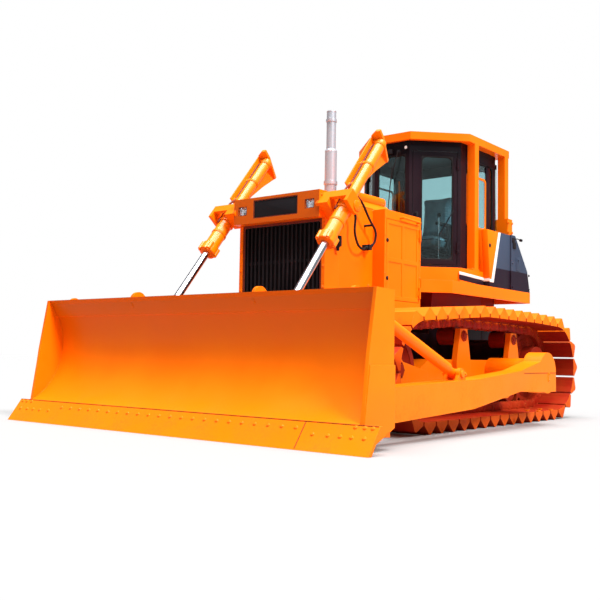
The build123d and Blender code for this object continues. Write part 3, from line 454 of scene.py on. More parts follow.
# colours: fresh, faded, and the lighter colour at the edges for wear and painted highlight
paints = {
    "bodyOrange": dict(colours=orangeSet),
    "guardOrange": dict(colours=orangeSet, tint=paintHeaderShade),
    "frameOrange": dict(colours=orangeSet, dustAndShade=0.45, tint=paintRollerShade),
    "bladeOrange": dict(colours=orangeSet, roughness=0.40, dustAndShade=0.30, dustAndShadeTop=0.5, radius=0.005,
                        tint=paintBladeShade),
    # painted highlight: a yellower copy of the orange for the cylinders, under a glossier coat
    "cylinderOrangeHighlit": dict(colours=((0.95, 0.20, 0.0), (0.97, 0.23, 0.001), orangeWornAndLit), roughness=0.30,
                           coat=0.25, specular=0.35),
    "boltOrange": dict(colours=(*orangeSet[:2], (0.90, 0.42, 0.14)), wear=0.8, radius=0.002, dustAndShade=0.3),
    "cabBrown": dict(colours=((0.012, 0.005, 0.009), (0.018, 0.008, 0.012), (0.10, 0.05, 0.06)), dustAndShade=0.0,
                     tint=paintCab),
    # dark red for red oxide and painted shade on the track; the shoe tint paints orange where light falls
    "trackOxideAndShadeRed": dict(colours=((0.30, 0.008, 0.003), (0.42, 0.028, 0.004), (0.70, 0.22, 0.05)), roughness=0.55,
                     coat=0.0, dustAndShade=0.45, wear=0.6, radius=0.006, tint=paintShoeLightAndShade),
    # painted shade: the hull's orange in deep shade is painted dark red
    "hullShade": dict(colours=((0.16, 0.009, 0.004), (0.22, 0.014, 0.005), (0.40, 0.10, 0.03)), roughness=0.5,
                     coat=0.0, dustAndShade=0.1, wear=0.4, radius=0.005, tint=paintHullShade),
    "tankSlate": dict(colours=((0.034, 0.048, 0.082), (0.044, 0.058, 0.094), (0.20, 0.21, 0.26)),
                      roughness=0.45, dustAndShade=0.0, tint=paintTank),
    "matBlack": dict(colours=((0.010, 0.009, 0.011), (0.018, 0.014, 0.016), (0.10, 0.09, 0.09)),
                     roughness=0.55, coat=0.0, dustAndShade=0.0),
    "rubber": dict(colours=((0.012, 0.010, 0.011), (0.020, 0.017, 0.018), (0.06, 0.05, 0.05)), roughness=0.62,
                   coat=0.0, dustAndShade=0.0, bump=0.3),
    # red oxide and painted shade: the undercarriage's dark red is partly oxide, partly its orange in shade
    "oxideAndShadeRed": dict(colours=(rollerShadeRed, (0.32, 0.020, 0.004), (0.66, 0.20, 0.05)), roughness=0.5, coat=0.05,
                     dustAndShade=0.45, wear=0.5),
    "maroon": dict(colours=((0.14, 0.022, 0.012), (0.18, 0.032, 0.018), (0.40, 0.18, 0.10)), roughness=0.42,
                   dustAndShade=0.1, radius=0.002),
    "seamDark": dict(colours=((0.16, 0.030, 0.006), (0.20, 0.045, 0.010), (0.22, 0.06, 0.02)), roughness=0.6,
                     coat=0.0, dustAndShade=0.2, radius=0.001),
    "whiteTrim": dict(colours=((0.80, 0.80, 0.78), (0.70, 0.70, 0.68), (0.60, 0.58, 0.55)), roughness=0.4,
                      dustAndShade=0.0, radius=0.001),
    "redLens": dict(colours=((0.42, 0.012, 0.010), (0.50, 0.020, 0.014), (0.50, 0.10, 0.08)), roughness=0.12,
                    coat=0.8, dustAndShade=0.0, radius=0.001, bump=0.02),
    "soot": dict(colours=((0.006, 0.006, 0.006), (0.012, 0.011, 0.010), (0.02, 0.02, 0.02)), roughness=0.9,
                 coat=0.0, dustAndShade=0.0),
}
metals = {
    "chrome": dict(colours=((0.56, 0.57, 0.61), (0.47, 0.48, 0.53)), roughness=0.20, wear=0.0, bump=0.03),
    "stackSteel": dict(colours=((0.58, 0.59, 0.64), (0.46, 0.47, 0.52)), roughness=0.34, metallic=0.5,
                       streak=(1.0, 1.0, 0.15), wear=0.2, bump=0.05),
    "lampSilver": dict(colours=((0.82, 0.82, 0.84), (0.70, 0.70, 0.74)), roughness=0.10, wear=0.0, bump=0.02),
}
finishes = {name: makePaint(name, **look) for name, look in paints.items()}
finishes.update({name: makeMetal(name, **look) for name, look in metals.items()})
finishes["lampGlass"] = makeGlass("lampGlass", (0.97, 0.98, 1.0), 0.05)
finishes["cabGlass"] = makeGlass("cabGlass", (0.52, 0.73, 0.75), 0.02)
finishes["seatCloth"] = makeCloth("seatCloth", ((0.15, 0.20, 0.24), (0.10, 0.14, 0.17)))

nodeFinish = {
    "guardOrange": ("radiator_guard",),
    "bodyOrange": ("hood", "service_boxes", "service_door_left", "service_door_right", "fenders", "cab_base",
                   "push_arm_left", "push_arm_right", "blade_brace", "rollover_frame", "drawbar"),
    "cylinderOrangeHighlit": ("lift_barrel_left", "lift_barrel_right", "tilt_cylinder"),
    "frameOrange": ("track_frame_left", "track_frame_right"),
    "bladeOrange": ("moldboard", "cutting_edge"),
    "cabBrown": ("cab_shell", "cab_roof", "cab_door_left", "cab_door_right"),
    "hullShade": ("main_frame",),
    "oxideAndShadeRed": ("sprocket_left", "sprocket_right", "idler_left", "idler_right"),
    "trackOxideAndShadeRed": ("track_left", "track_right"),
    "tankSlate": ("fuel_tank",),
    "matBlack": ("grille", "radiator_core", "engine_block", "console", "seat"),
    "rubber": ("lift_hoses",),
    "chrome": ("lift_rod_left", "lift_rod_right"),
    "stackSteel": ("exhaust_stack",),
    "lampGlass": ("headlamps",),
    "cabGlass": ("cab_glass", "door_glass_left", "door_glass_right"),
}
for finishName, nodeNames in nodeFinish.items():
    for nodeName in nodeNames:
        nodes[nodeName].data.materials.clear()
        nodes[nodeName].data.materials.append(finishes[finishName])
print("finishes on the frame's nodes")


# Mesh helpers: shapes are gathered in one bmesh, which becomes one piece on one body
mirror = (-1, 1)
sides = ((1, "left"), (-1, "right"))
smoothAngle = 40


def shift(x, y, z):
    return Matrix.Translation((x, y, z))


def spin(share):
    return Matrix.Rotation(2 * math.pi * share, 4, "Z")


def aim(place, axis):
    # frame whose Z points along the axis
    return Matrix.Translation(place) @ Vector(axis).to_track_quat("Z", "Y").to_matrix().to_4x4()


def sideways(x, y, z, side):
    # frame on a side face: X runs to the rear, Y up, Z outwards
    return shift(x, y, z) @ Matrix(((-1, 0, 0), (0, 0, 1), (0, side, 0))).transposed().to_4x4()


def facing(x, y, z):
    # frame on a face that looks forward: X runs to the machine's left, Y up
    return shift(x, y, z) @ Matrix(((0, 0, 1), (1, 0, 0), (0, 1, 0))).to_4x4()


def rearward(x, y, z):
    # frame on a face that looks back: X runs to the machine's right, Y up
    return shift(x, y, z) @ Matrix(((0, 0, -1), (-1, 0, 0), (0, 1, 0))).to_4x4()


def onSide(side, y, spots):
    # outward frames at (x, z) spots, the distance y from the machine's middle
    return [aim((x, side * y, z), (0, side, 0)) for x, z in spots]


def moved(at, points):
    return [at @ Vector(point) for point in points]


def grown(half, by):
    return half[0] + by, half[1] + by


def bevelEdges(bm, edges, offset, segments=2):
    bmesh.ops.bevel(bm, geom=list(edges), offset=offset, segments=segments, profile=0.5, affect="EDGES",
                    material=-1)


def addBlock(bm, low, high, bevel=0.003, at=Matrix()):
    size = [b - a for a, b in zip(low, high)]
    centre = [(a + b) / 2 for a, b in zip(low, high)]
    made = bmesh.ops.create_cube(bm, size=1, matrix=at @ shift(*centre) @ Matrix.Diagonal((*size, 1)))
    bevelEdges(bm, {edge for vert in made["verts"] for edge in vert.link_edges}, bevel)


def addSideBlock(bm, side, low, high, bevel):
    # a block given for the machine's left, on either side
    near, far = sorted((side * low[1], side * high[1]))
    addBlock(bm, (low[0], near, low[2]), (high[0], far, high[2]), bevel)


def addMesh(bm, shape, places):
    # copies of a small bmesh at each of the given matrices; frees the small one
    mesh = bpy.data.meshes.new("copy")
    shape.to_mesh(mesh)
    shape.free()
    for place in places:
        copy = mesh.copy()
        copy.transform(place)
        bm.from_mesh(copy)
        bpy.data.meshes.remove(copy)
    bpy.data.meshes.remove(mesh)


def addTurned(bm, profile, at, segments):
    # (radius, height) points, turned about the Z axis of the matrix `at`
    shape = bmesh.new()
    verts = [shape.verts.new((radius, 0, height)) for radius, height in profile]
    edges = [shape.edges.new(pair) for pair in zip(verts, verts[1:])]
    bmesh.ops.spin(shape, geom=verts + edges, axis=(0, 0, 1), angle=2 * math.pi, steps=segments,
                   use_merge=True)
    bmesh.ops.remove_doubles(shape, verts=shape.verts, dist=1e-6)
    bmesh.ops.recalc_face_normals(shape, faces=shape.faces)
    addMesh(bm, shape, [at])


def addBand(bm, at, inner, outer, half, segments=40):
    # clamp band round a tube
    addTurned(bm, [(inner, -half), (outer, 0.002 - half), (outer, half - 0.002), (inner, half)], at, segments)


def roundedLoop(halfX, halfY, radius, steps=6):
    loop = []
    for corner, (signX, signY) in enumerate(((1, 1), (-1, 1), (-1, -1), (1, -1))):
        for step in range(steps + 1):
            angle = math.pi / 2 * (corner + step / steps)
            loop.append((signX * (halfX - radius) + radius * math.cos(angle),
                         signY * (halfY - radius) + radius * math.sin(angle)))
    return loop


def addRing(bm, at, half, radius, height):
    return [bm.verts.new(at @ Vector((x, y, height))) for x, y in roundedLoop(*half, radius)]


def joinRings(bm, rings):
    for first, second in zip(rings, rings[1:]):
        for i in range(len(first)):
            j = (i + 1) % len(first)
            bm.faces.new((first[i], first[j], second[j], second[i]))


def addFrame(bm, at, outer, inner, outerRadius, innerRadius, thick, soft=0.0015):
    # flat frame in the XY plane of `at`: outer and inner are (half width, half height)
    rings = [addRing(bm, at, grown(half, grow), radius, height) for half, radius, grow, height in (
        (outer, outerRadius, 0, 0), (outer, outerRadius, 0, thick - soft), (outer, outerRadius, -soft, thick),
        (inner, innerRadius, soft, thick), (inner, innerRadius, 0, thick - soft), (inner, innerRadius, 0, 0))]
    joinRings(bm, rings + rings[:1])


def addPanel(bm, at, half, radius, thick, soft=0.003):
    # flat plate with rounded corners, in the XY plane of `at`
    rings = [addRing(bm, at, half, radius, 0), addRing(bm, at, half, radius, thick - soft),
             addRing(bm, at, grown(half, -soft), radius, thick)]
    joinRings(bm, rings)
    bm.faces.new(rings[-1])
    bm.faces.new(rings[0][::-1])


def addPrism(bm, outline, y0, y1, bevel=0.004):
    # outline of (x, z) points, drawn across the machine from y0 to y1
    shape = bmesh.new()
    face = shape.faces.new([shape.verts.new((x, y0, z)) for x, z in outline])
    made = bmesh.ops.extrude_face_region(shape, geom=[face])
    far = [item for item in made["geom"] if isinstance(item, bmesh.types.BMVert)]
    bmesh.ops.translate(shape, verts=far, vec=(0, y1 - y0, 0))
    bmesh.ops.recalc_face_normals(shape, faces=shape.faces)
    bevelEdges(shape, shape.edges, bevel)
    addMesh(bm, shape, [Matrix()])


def addBolts(bm, size, places):
    # hexagon heads of (radius, height) with a chamfered top, each on its washer, at the given matrices
    radius, height = size
    shape = bmesh.new()
    washer = height * 0.22
    addTurned(shape, [(0, 0), (radius * 1.42, 0), (radius * 1.42, washer * 0.7), (radius * 1.30, washer),
                      (0, washer)], Matrix(), 18)
    head = bmesh.ops.create_cone(shape, cap_ends=True, segments=6, radius1=radius, radius2=radius,
                                 depth=height, matrix=shift(0, 0, washer + height / 2))
    top = [edge for edge in shape.edges if all(v in head["verts"] and v.co.z > height for v in edge.verts)]
    bevelEdges(shape, top, radius * 0.14, 1)
    addMesh(bm, shape, places)


def addHub(bm, place, side, hub):
    # turned cover on a face that looks sideways, with a ring of bolts
    at = aim(place, (0, side, 0))
    radius, count, size, start = hub["ring"]
    addTurned(bm, hub["profile"], at, hub["segments"])
    addBolts(bm, size, [at @ shift(0, 0, hub["ringZ"]) @ spin(i / count) @ Matrix.Rotation(start, 4, "Z")
                        @ shift(radius, 0, 0) for i in range(count)])


def addCap(bm, at, cap):
    # screw cap with finger grips
    addTurned(bm, cap["profile"], at, cap["segments"])
    for i in range(cap["grips"]):
        addBlock(bm, *cap["grip"], 0.002, at @ spin(i / cap["grips"]))


def finishPiece(bm, name, finish, body="machine"):
    bmesh.ops.recalc_face_normals(bm, faces=bm.faces)
    mesh = bpy.data.meshes.new(name)
    for face in bm.faces:
        face.smooth = True
    for edge in bm.edges:
        edge.smooth = len(edge.link_faces) == 2 and edge.calc_face_angle(0) < math.radians(smoothAngle)
    bm.to_mesh(mesh)
    bm.free()
    piece = addObject(name, mesh)
    mesh.materials.append(finishes[finish])
    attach(piece, body)
    return piece


def roundedRoute(points, bend, closed, steps=5):
    route = []
    for i, corner in enumerate(points):
        if not closed and i in (0, len(points) - 1):
            route.append(corner)
            continue
        before, after = points[i - 1] - corner, points[(i + 1) % len(points)] - corner
        reach = min(bend, 0.45 * before.length, 0.45 * after.length)
        start, end = corner + before.normalized() * reach, corner + after.normalized() * reach
        for step in range(steps + 1):
            share = step / steps
            route.append(start.lerp(corner, share).lerp(corner.lerp(end, share), share))
    return route


def makeTubes(name, routes, radius, finish, body="machine", bend=0.03, closed=False):
    # round bars or beads along points, with each corner rounded
    curve = bpy.data.curves.new(name, "CURVE")
    curve.dimensions = "3D"
    curve.bevel_depth = radius
    curve.bevel_resolution = 3
    curve.use_fill_caps = True
    for route in routes:
        points = roundedRoute([Vector(point) for point in route], bend, closed)
        spline = curve.splines.new("POLY")
        spline.points.add(len(points) - 1)
        spline.use_cyclic_u = closed
        for knot, point in zip(spline.points, points):
            knot.co = (*point, 1)
    tubes = addObject(name, curve)
    curve.materials.append(finishes[finish])
    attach(tubes, body)


def box(name):
    low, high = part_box(name)
    return Vector(low), Vector(high)


# Blade: bolts and weld seams of the cutting edge, pins and caps of the push arms
edgeLow, edgeHigh = box("cutting_edge")
armLow, armHigh = box("push_arm_left")
edgeBits = {"bolt": 0.019, "boltHeight": 0.010, "slopeBack": 0.150, "mainRow": 0.155, "mainCount": 22,
            "reach": 1.52, "seam": 0.004,
            "endRows": ((0.118, (1.63, 1.77, 1.88, 1.98, 2.09)), (0.188, (1.98, 2.06, 2.13)))}


def edgePlace(y, up):
    # on the edge's sloping front face
    return Vector((edgeHigh.x - edgeBits["slopeBack"] * up / edgeHigh.z, y, up))


def makeEdgeBolts(e):
    normal = Vector((edgeHigh.z, 0, e["slopeBack"]))
    spots = [(e["reach"] * (2 * (i + 0.5) / e["mainCount"] - 1), e["mainRow"]) for i in range(e["mainCount"])]
    spots += [(side * y, up) for side in mirror for up, places in e["endRows"] for y in places]
    head = bmesh.new()
    addTurned(head, [(0, e["boltHeight"]), (e["bolt"] * 0.55, e["boltHeight"] * 0.92), (e["bolt"], 0.0),
                     (e["bolt"] * 1.08, -0.004)], Matrix(), 14)
    bm = bmesh.new()
    addMesh(bm, head, [aim(edgePlace(y, up), normal) for y, up in spots])
    finishPiece(bm, "edgeBolts", "boltOrange", "blade")
    joint = [edgePlace(e["reach"], up) for up in (0.012, edgeHigh.z - 0.004)]  # of the left end bit
    top = [edgePlace(y, edgeHigh.z - 0.002) for y in (edgeLow.y + 0.01, edgeHigh.y - 0.01)]
    makeTubes("edgeSeams", [joint, top], e["seam"], "seamDark", "blade")


makeEdgeBolts(edgeBits)

# pins: x, z, radius and half length; the lift cylinder's pins are (x, y, z)
liftPins = {"yoke": (1.220, 0.768, 2.120), "eye": (2.125, 0.768, 1.018)}
armBits = {"trunnion": (-0.913, 0.556), "plate": (0.020, 0.050), "plateBolt": (0.008, 0.007),
           "capBolt": (0.020, 0.014), "capSpread": 0.165, "capDepth": 0.060, "line": 0.0035,
           "pins": ((0.945, 0.555, 0.036, 0.074), (2.275, 1.052, 0.036, 0.074)), "eyePin": (0.040, 0.0782),
           "pinBolt": (0.011, 0.009), "headEnd": -0.313}


def addPin(bm, middle, x, z, radius, half):
    # pin across the machine, with a retaining plate and its bolt at each end
    for sign in mirror:
        at = aim((x, middle + sign * half, z), (0, sign, 0))
        collar = radius * 0.9
        addTurned(bm, [(0, 0.016), (radius * 0.8, 0.016), (collar, 0.012), (collar, -0.004)], at, 24)
        addPanel(bm, at @ shift(radius * 0.55, 0, -0.001), (radius * 1.35, radius * 0.52), 0.010, 0.008)
        addBolts(bm, armBits["pinBolt"], [at @ shift(radius * 1.4, 0, 0.006)])


def makeArmFittings(a):
    trunnionX, trunnionZ = a["trunnion"]
    eyeX, eyeY, eyeZ = liftPins["eye"]
    for side, name in sides:
        bm = bmesh.new()
        middle = side * (armLow.y + armHigh.y) / 2
        plate = sideways(trunnionX - 0.02, side * (armHigh.y - 0.001), trunnionZ - 0.045, side)
        addPanel(bm, plate, a["plate"], 0.010, 0.006)
        addBolts(bm, a["plateBolt"], [plate @ shift(0, y, 0.005) for y in (-0.032, 0.032)])
        for along in mirror:
            spots = [(trunnionX + along * a["capSpread"], middle + across * a["capDepth"], armLow.z - 0.001)
                     for across in mirror]
            addBolts(bm, a["capBolt"], [aim(spot, (0, 0, -1)) for spot in spots])
        for pin in a["pins"]:
            addPin(bm, middle, *pin)
        addPin(bm, side * eyeY, eyeX, eyeZ, *a["eyePin"])
        finishPiece(bm, f"armFittings{name.title()}", "boltOrange", "blade")
        outside, inside, end = side * (armHigh.y + 0.0005), side * (armLow.y - 0.0005), armLow.x - 0.0005
        line = [(a["headEnd"], outside, trunnionZ), (end, outside, trunnionZ), (end, inside, trunnionZ)]
        makeTubes(f"capLine{name.title()}", [line], a["line"], "seamDark", "blade", bend=0.004)


makeArmFittings(armBits)
print("blade and arms ready")


# Undercarriage: chain links; the belt's wheels are (x, z, radius), its carrier rollers (x, top)
trackLow, trackHigh = box("track_left")
trackMiddle = (trackLow.y + trackHigh.y) / 2
belt = {"sprocket": (-1.985, 0.600, 0.600), "idler": (1.040, 0.575, 0.575), "carrier": 0.095, "depth": 0.210,
        "carriers": ((-1.370, 1.222), (-0.175, 1.234)), "shoe": 0.115, "count": 41}
chain = {"link": 0.052, "spread": 0.075, "out": 0.021, "overlap": 0.030, "half": 0.036, "corner": 0.020,
         "thick": 0.010, "boss": [(0, 0.013), (0.024, 0.013), (0.026, 0.009), (0.046, 0.008), (0.050, 0.004),
                                  (0.050, -0.006)]}


def beltArcs(b):
    # each wheel's arc at the links' pins: centre, radius, start angle and sweep
    reach = b["carrier"] + b["depth"]
    wheels = [b["sprocket"], *((x, tip - reach, reach) for x, tip in b["carriers"]), b["idler"]]
    leave = []
    for (x0, z0, r0), (x1, z1, r1) in zip(wheels, wheels[1:] + wheels[:1]):
        lift = math.asin((r1 - r0) / math.hypot(x1 - x0, z1 - z0))
        leave.append(math.atan2(z1 - z0, x1 - x0) + math.pi / 2 + lift)
    return [(x, z, r - b["shoe"], leave[i - 1], -((leave[i - 1] - leave[i]) % (2 * math.pi)))
            for i, (x, z, r) in enumerate(wheels)]


def beltPlaces(b):
    # evenly spaced (x, z, outward angle) round the belt, and the distance between two
    arcs = beltArcs(b)
    stretches = []
    for (x, z, r, start, sweep), (xn, zn, rn, begin, _) in zip(arcs, arcs[1:] + arcs[:1]):
        end = start + sweep
        leave = Vector((x + r * math.cos(end), z + r * math.sin(end)))
        join = Vector((xn + rn * math.cos(begin), zn + rn * math.sin(begin)))
        stretches.append((x, z, r, start, sweep, leave, join))
    total = sum(abs(sweep) * r + (join - leave).length for _, _, r, _, sweep, leave, join in stretches)
    pitch = total / b["count"]
    places = []
    for i in range(b["count"]):
        distance = (i + 0.5) * pitch
        for x, z, r, start, sweep, leave, join in stretches:
            if distance <= abs(sweep) * r:
                angle = start - distance / r
                places.append((x + r * math.cos(angle), z + r * math.sin(angle), angle))
                break
            distance -= abs(sweep) * r
            straight = (join - leave).length
            if distance <= straight:
                places.append((*leave.lerp(join, distance / straight), start + sweep))
                break
            distance -= straight
    return places, pitch


def makeChains(c):
    places, pitch = beltPlaces(belt)
    for side, name in sides:
        bm = bmesh.new()
        for rail in mirror:
            for out in mirror:
                link = bmesh.new()
                addTurned(link, c["boss"], Matrix(), 18)
                addPanel(link, shift(pitch / 2, -0.004, -0.004), (pitch / 2 - c["overlap"], c["half"]),
                         c["corner"], c["thick"])
                y = side * trackMiddle + rail * c["spread"] + out * c["out"]
                across = Vector((0, out, 0))
                spots = []
                for x, z, angle in places:
                    along = Vector((math.sin(angle), 0, -math.cos(angle)))
                    centre = Vector((x, y, z)) - c["link"] * Vector((math.cos(angle), 0, math.sin(angle)))
                    turn = Matrix((along, across.cross(along), across)).transposed().to_4x4()
                    spots.append(Matrix.Translation(centre) @ turn)
                addMesh(bm, link, spots)
        finishPiece(bm, f"chainLinks{name.title()}", "trackOxideAndShadeRed")


makeChains(chain)

# Hubs and caps: turned profiles, each with a ring of bolts (radius, count, bolt, turn) at the height `ringZ`
hubs = {
    "drive": {"profile": [(0, 0.034), (0.075, 0.034), (0.085, 0.026), (0.088, 0.012), (0.175, 0.010),
                          (0.215, 0.002), (0.230, -0.004)],
              "segments": 48, "ringZ": 0.008, "ring": (0.150, 12, (0.014, 0.010), 0)},
    "wheel": {"profile": [(0.250, 0.016), (0.330, 0.014), (0.350, 0.006), (0.352, -0.002)],
              "segments": 60, "ringZ": 0.012, "ring": (0.300, 25, (0.015, 0.010), 0.06)},
    "idler": {"profile": [(0, 0.030), (0.050, 0.030), (0.056, 0.024), (0.060, 0.008), (0.086, 0.006),
                          (0.088, -0.004)],
              "segments": 36, "ringZ": 0.005, "ring": (0.073, 6, (0.009, 0.010), 0)},
    "roller": {"profile": [(0, 0.020), (0.036, 0.020), (0.040, 0.014), (0.066, 0.010), (0.104, 0.004),
                           (0.112, -0.004)],
               "segments": 30, "ringZ": 0.011, "ring": (0.053, 4, (0.008, 0.010), 0.4)},
    "carrier": {"profile": [(0, 0.022), (0.030, 0.022), (0.036, 0.012), (0.056, 0.008), (0.060, -0.002)],
                "segments": 30, "ringZ": 0.009, "ring": (0.045, 4, (0.007, 0.010), 0.4)},
    "yoke": {"profile": [(0, 0.016), (0.046, 0.016), (0.054, 0.010), (0.056, -0.003)],
             "segments": 36, "ringZ": 0.012, "ring": (0.036, 4, (0.007, 0.006), 0)},
}
# how far each stands from the track's middle
wheelBits = {"wheelOut": 0.046, "idlerOut": 0.149, "webOut": 0.0395, "rollerOut": 0.094,
             "carrierOuter": 0.174, "carrierInner": 0.096, "rollers": 7, "rollerZ": 0.324, "rowIn": 0.064,
             "rowEnd": 0.591,
             "web": [(0.086, 0.030), (0.130, 0.016), (0.230, 0.008), (0.270, 0.024), (0.300, 0.050)]}


def makeHubs(w):
    sprocketX, sprocketZ = belt["sprocket"][:2]
    idlerX, idlerZ = belt["idler"][:2]
    driveFace = box("sprocket_left")[1].y - 0.001
    rowStart = box("track_frame_left")[0].x + w["rowIn"]
    rollerStep = (w["rowEnd"] - rowStart) / (w["rollers"] - 1)
    for side, name in sides:
        middle = side * trackMiddle
        bm = bmesh.new()
        addHub(bm, (sprocketX, side * driveFace, sprocketZ), side, hubs["drive"])
        addHub(bm, (sprocketX, middle + side * w["wheelOut"], sprocketZ), side, hubs["wheel"])
        finishPiece(bm, f"driveHub{name.title()}", "oxideAndShadeRed")
        bm = bmesh.new()
        for out in mirror:
            addHub(bm, (idlerX, middle + out * w["idlerOut"], idlerZ), out, hubs["idler"])
            addTurned(bm, w["web"], aim((idlerX, middle + out * w["webOut"], idlerZ), (0, out, 0)), 60)
        finishPiece(bm, f"idlerHub{name.title()}", "oxideAndShadeRed")
        bm = bmesh.new()
        for i in range(w["rollers"]):
            for out in mirror:
                place = (rowStart + rollerStep * i, middle + out * w["rollerOut"], w["rollerZ"])
                addHub(bm, place, out, hubs["roller"])
        for x, tip in belt["carriers"]:
            z = tip - belt["depth"] - belt["carrier"] - 0.002
            addHub(bm, (x, middle + side * w["carrierOuter"], z), side, hubs["carrier"])
            addHub(bm, (x, middle - side * w["carrierInner"], z), -side, hubs["carrier"])
        finishPiece(bm, f"rollerCaps{name.title()}", "oxideAndShadeRed")


makeHubs(wheelBits)
print("undercarriage ready")


# Radiator guard: header panel, lamps, grille rim, bolts and plugs
guardLow, guardHigh = box("radiator_guard")
grilleLow, grilleHigh = box("grille")
lampLow, lampHigh = box("headlamps")
front = {"half": 0.558, "face": 1.357, "rim": 1.257, "panelHalf": (0.290, 0.094), "panelZ": 2.174,
         "panelDepth": 0.012, "bolt": (0.010, 0.008), "yokeFace": 0.901}
lamp = {"y": 0.438, "z": 2.168, "half": (0.058, 0.046), "corner": 0.012, "bowl": 0.014, "ribs": 4,
        "ribStep": 0.0115, "bowlRings": ((1.0, 0.034), (0.96, 0.020), (0.82, 0.008), (0.5, 0.003)),
        "bulb": [(0.011, 0.002), (0.011, 0.020), (0.007, 0.026), (0, 0.028)]}
plug = {"low": (1.070, 0.5575, 1.765), "high": (1.112, 0.628, 1.872), "studAt": (1.091, 0.593),
        "stud": [(0, 0.040), (0.012, 0.040), (0.016, 0.034), (0.016, 0.006), (0.022, 0.004), (0.022, -0.004)]}


def makeHeader(f):
    bm = bmesh.new()
    addPanel(bm, facing(f["face"] - f["panelDepth"] - 0.001, 0, f["panelZ"]), grown(f["panelHalf"], -0.010),
             0.012, 0.007)
    finishPiece(bm, "headerPanel", "matBlack")
    bm = bmesh.new()
    addFrame(bm, facing(f["face"] - 0.006, 0, f["panelZ"]), grown(f["panelHalf"], 0.006),
             grown(f["panelHalf"], -0.009), 0.006, 0.010, 0.0055)
    for side in mirror:
        addFrame(bm, facing(f["face"] - 0.004, side * lamp["y"], lamp["z"]), grown(lamp["half"], 0.005),
                 grown(lamp["half"], -0.006), 0.012, 0.014, 0.0035)
    finishPiece(bm, "headerTrim", "maroon")


def makeLamps(p):
    bowls, lenses = bmesh.new(), bmesh.new()
    width, height = grown(p["half"], -0.004)
    for side in mirror:
        at = facing(lampLow.x - 0.002, side * p["y"], p["z"])
        rings = [addRing(bowls, at, (width * share, height * share), p["bowl"] * share, depth)
                 for share, depth in p["bowlRings"]]
        joinRings(bowls, rings)
        bowls.faces.new(rings[-1])
        addTurned(bowls, p["bulb"], at, 20)
        at = facing(lampHigh.x - 0.008, side * p["y"], p["z"])
        addPanel(lenses, at, grown(p["half"], -0.003), p["corner"], 0.007, 0.002)
        for i in range(-p["ribs"], p["ribs"] + 1):
            addBlock(lenses, (-0.0015, -0.038, -0.001), (0.0015, 0.038, 0.0012), 0.0005,
                     at @ shift(i * p["ribStep"], 0, 0.007))
    finishPiece(bowls, "lampBowls", "lampSilver")
    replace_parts(finishPiece(lenses, "lampLenses", "lampGlass"), "headlamps")


def makeGuardFittings(f):
    bm = bmesh.new()
    half = (grilleHigh.y - 0.0007, (grilleHigh.z - grilleLow.z) / 2 - 0.001)
    addFrame(bm, facing(grilleHigh.x - 0.001, 0, (grilleLow.z + grilleHigh.z) / 2), half, grown(half, -0.025),
             0.004, 0.020, 0.007)
    finishPiece(bm, "grilleRim", "maroon")
    bm, plugs = bmesh.new(), bmesh.new()
    flank = [(1.065, z) for z in (0.90, 1.30, 1.70, 2.10, 2.25)] + [(1.320, 2.10), (1.320, 2.25)]
    for side in mirror:
        rim = [(f["rim"] - 0.0005, side * (f["half"] - 0.020), guardLow.z + 0.12 + i * 0.205)
               for i in range(6)]
        roof = [(1.075, side * y, guardHigh.z - 0.0005) for y in (0.18, 0.36, 0.50)]
        addBolts(bm, f["bolt"], [aim(spot, (1, 0, 0)) for spot in rim])
        addBolts(bm, f["bolt"], onSide(side, f["half"] - 0.0005, flank))
        addBolts(bm, f["bolt"], [aim(spot, (0, 0, 1)) for spot in roof])
        addHub(bm, (liftPins["yoke"][0], side * f["yokeFace"], liftPins["yoke"][2]), side, hubs["yoke"])
        addSideBlock(plugs, side, plug["low"], plug["high"], 0.008)
        foot = (plug["studAt"][0], side * plug["studAt"][1], plug["low"][2])
        addTurned(plugs, plug["stud"], aim(foot, (0, 0, -1)), 20)
    finishPiece(bm, "guardBolts", "boltOrange")
    finishPiece(plugs, "guardPlugs", "matBlack")


makeHeader(front)
makeLamps(lamp)
makeGuardFittings(front)

# Stack and hood: bands, mouth, cap, cover, fasteners and seams
hoodLow, hoodHigh = box("hood")
stackHigh = box("exhaust_stack")[1]
stack = {"place": (0.635, 0.150), "step": 2.853, "bandZ": 2.52,
         "lug": ((0.685, 0.170, 3.170), (0.720, 0.195, 3.210)),
         "foot": [(0.064, 0.006), (0.110, 0.006), (0.116, 0.003), (0.116, -0.002)],
         "cone": [(0.0635, 0.0), (0.0655, 0.004), (0.062, 0.016), (0.052, 0.030), (0.0505, 0.030)],
         "rim": [(0.046, -0.10), (0.046, 0.004), (0.0515, 0.004), (0.0525, -0.004), (0.0505, -0.006)],
         "mouth": [(0, 0.0), (0.045, 0.0), (0.045, 0.002)]}
hoodCap = {"place": (0.86, -0.16), "segments": 36, "grips": 12,
           "grip": ((0.054, -0.005, 0.014), (0.062, 0.005, 0.036)),
           "profile": [(0, 0.052), (0.030, 0.052), (0.052, 0.046), (0.058, 0.036), (0.058, 0.012),
                       (0.070, 0.008), (0.074, -0.002)]}
hood = {"cover": ((-0.030, 0.300, 2.330), (0.500, 0.430, 2.428)), "bolt": (0.008, 0.006),
        "latch": (0.42, 1.42), "rowZ": 2.225, "rowIn": 0.40, "rowStep": 0.150, "frontIn": 0.030,
        "frontZ": (1.30, 1.62, 1.94),
        "topX": (0.10, 0.42, 0.74, 0.98), "topY": 0.21, "seam": 0.0022, "seamX": (0.348, 1.024),
        "seamZ": (1.24, 2.252), "crossX": (0.30, 0.90), "crossY": 0.24}


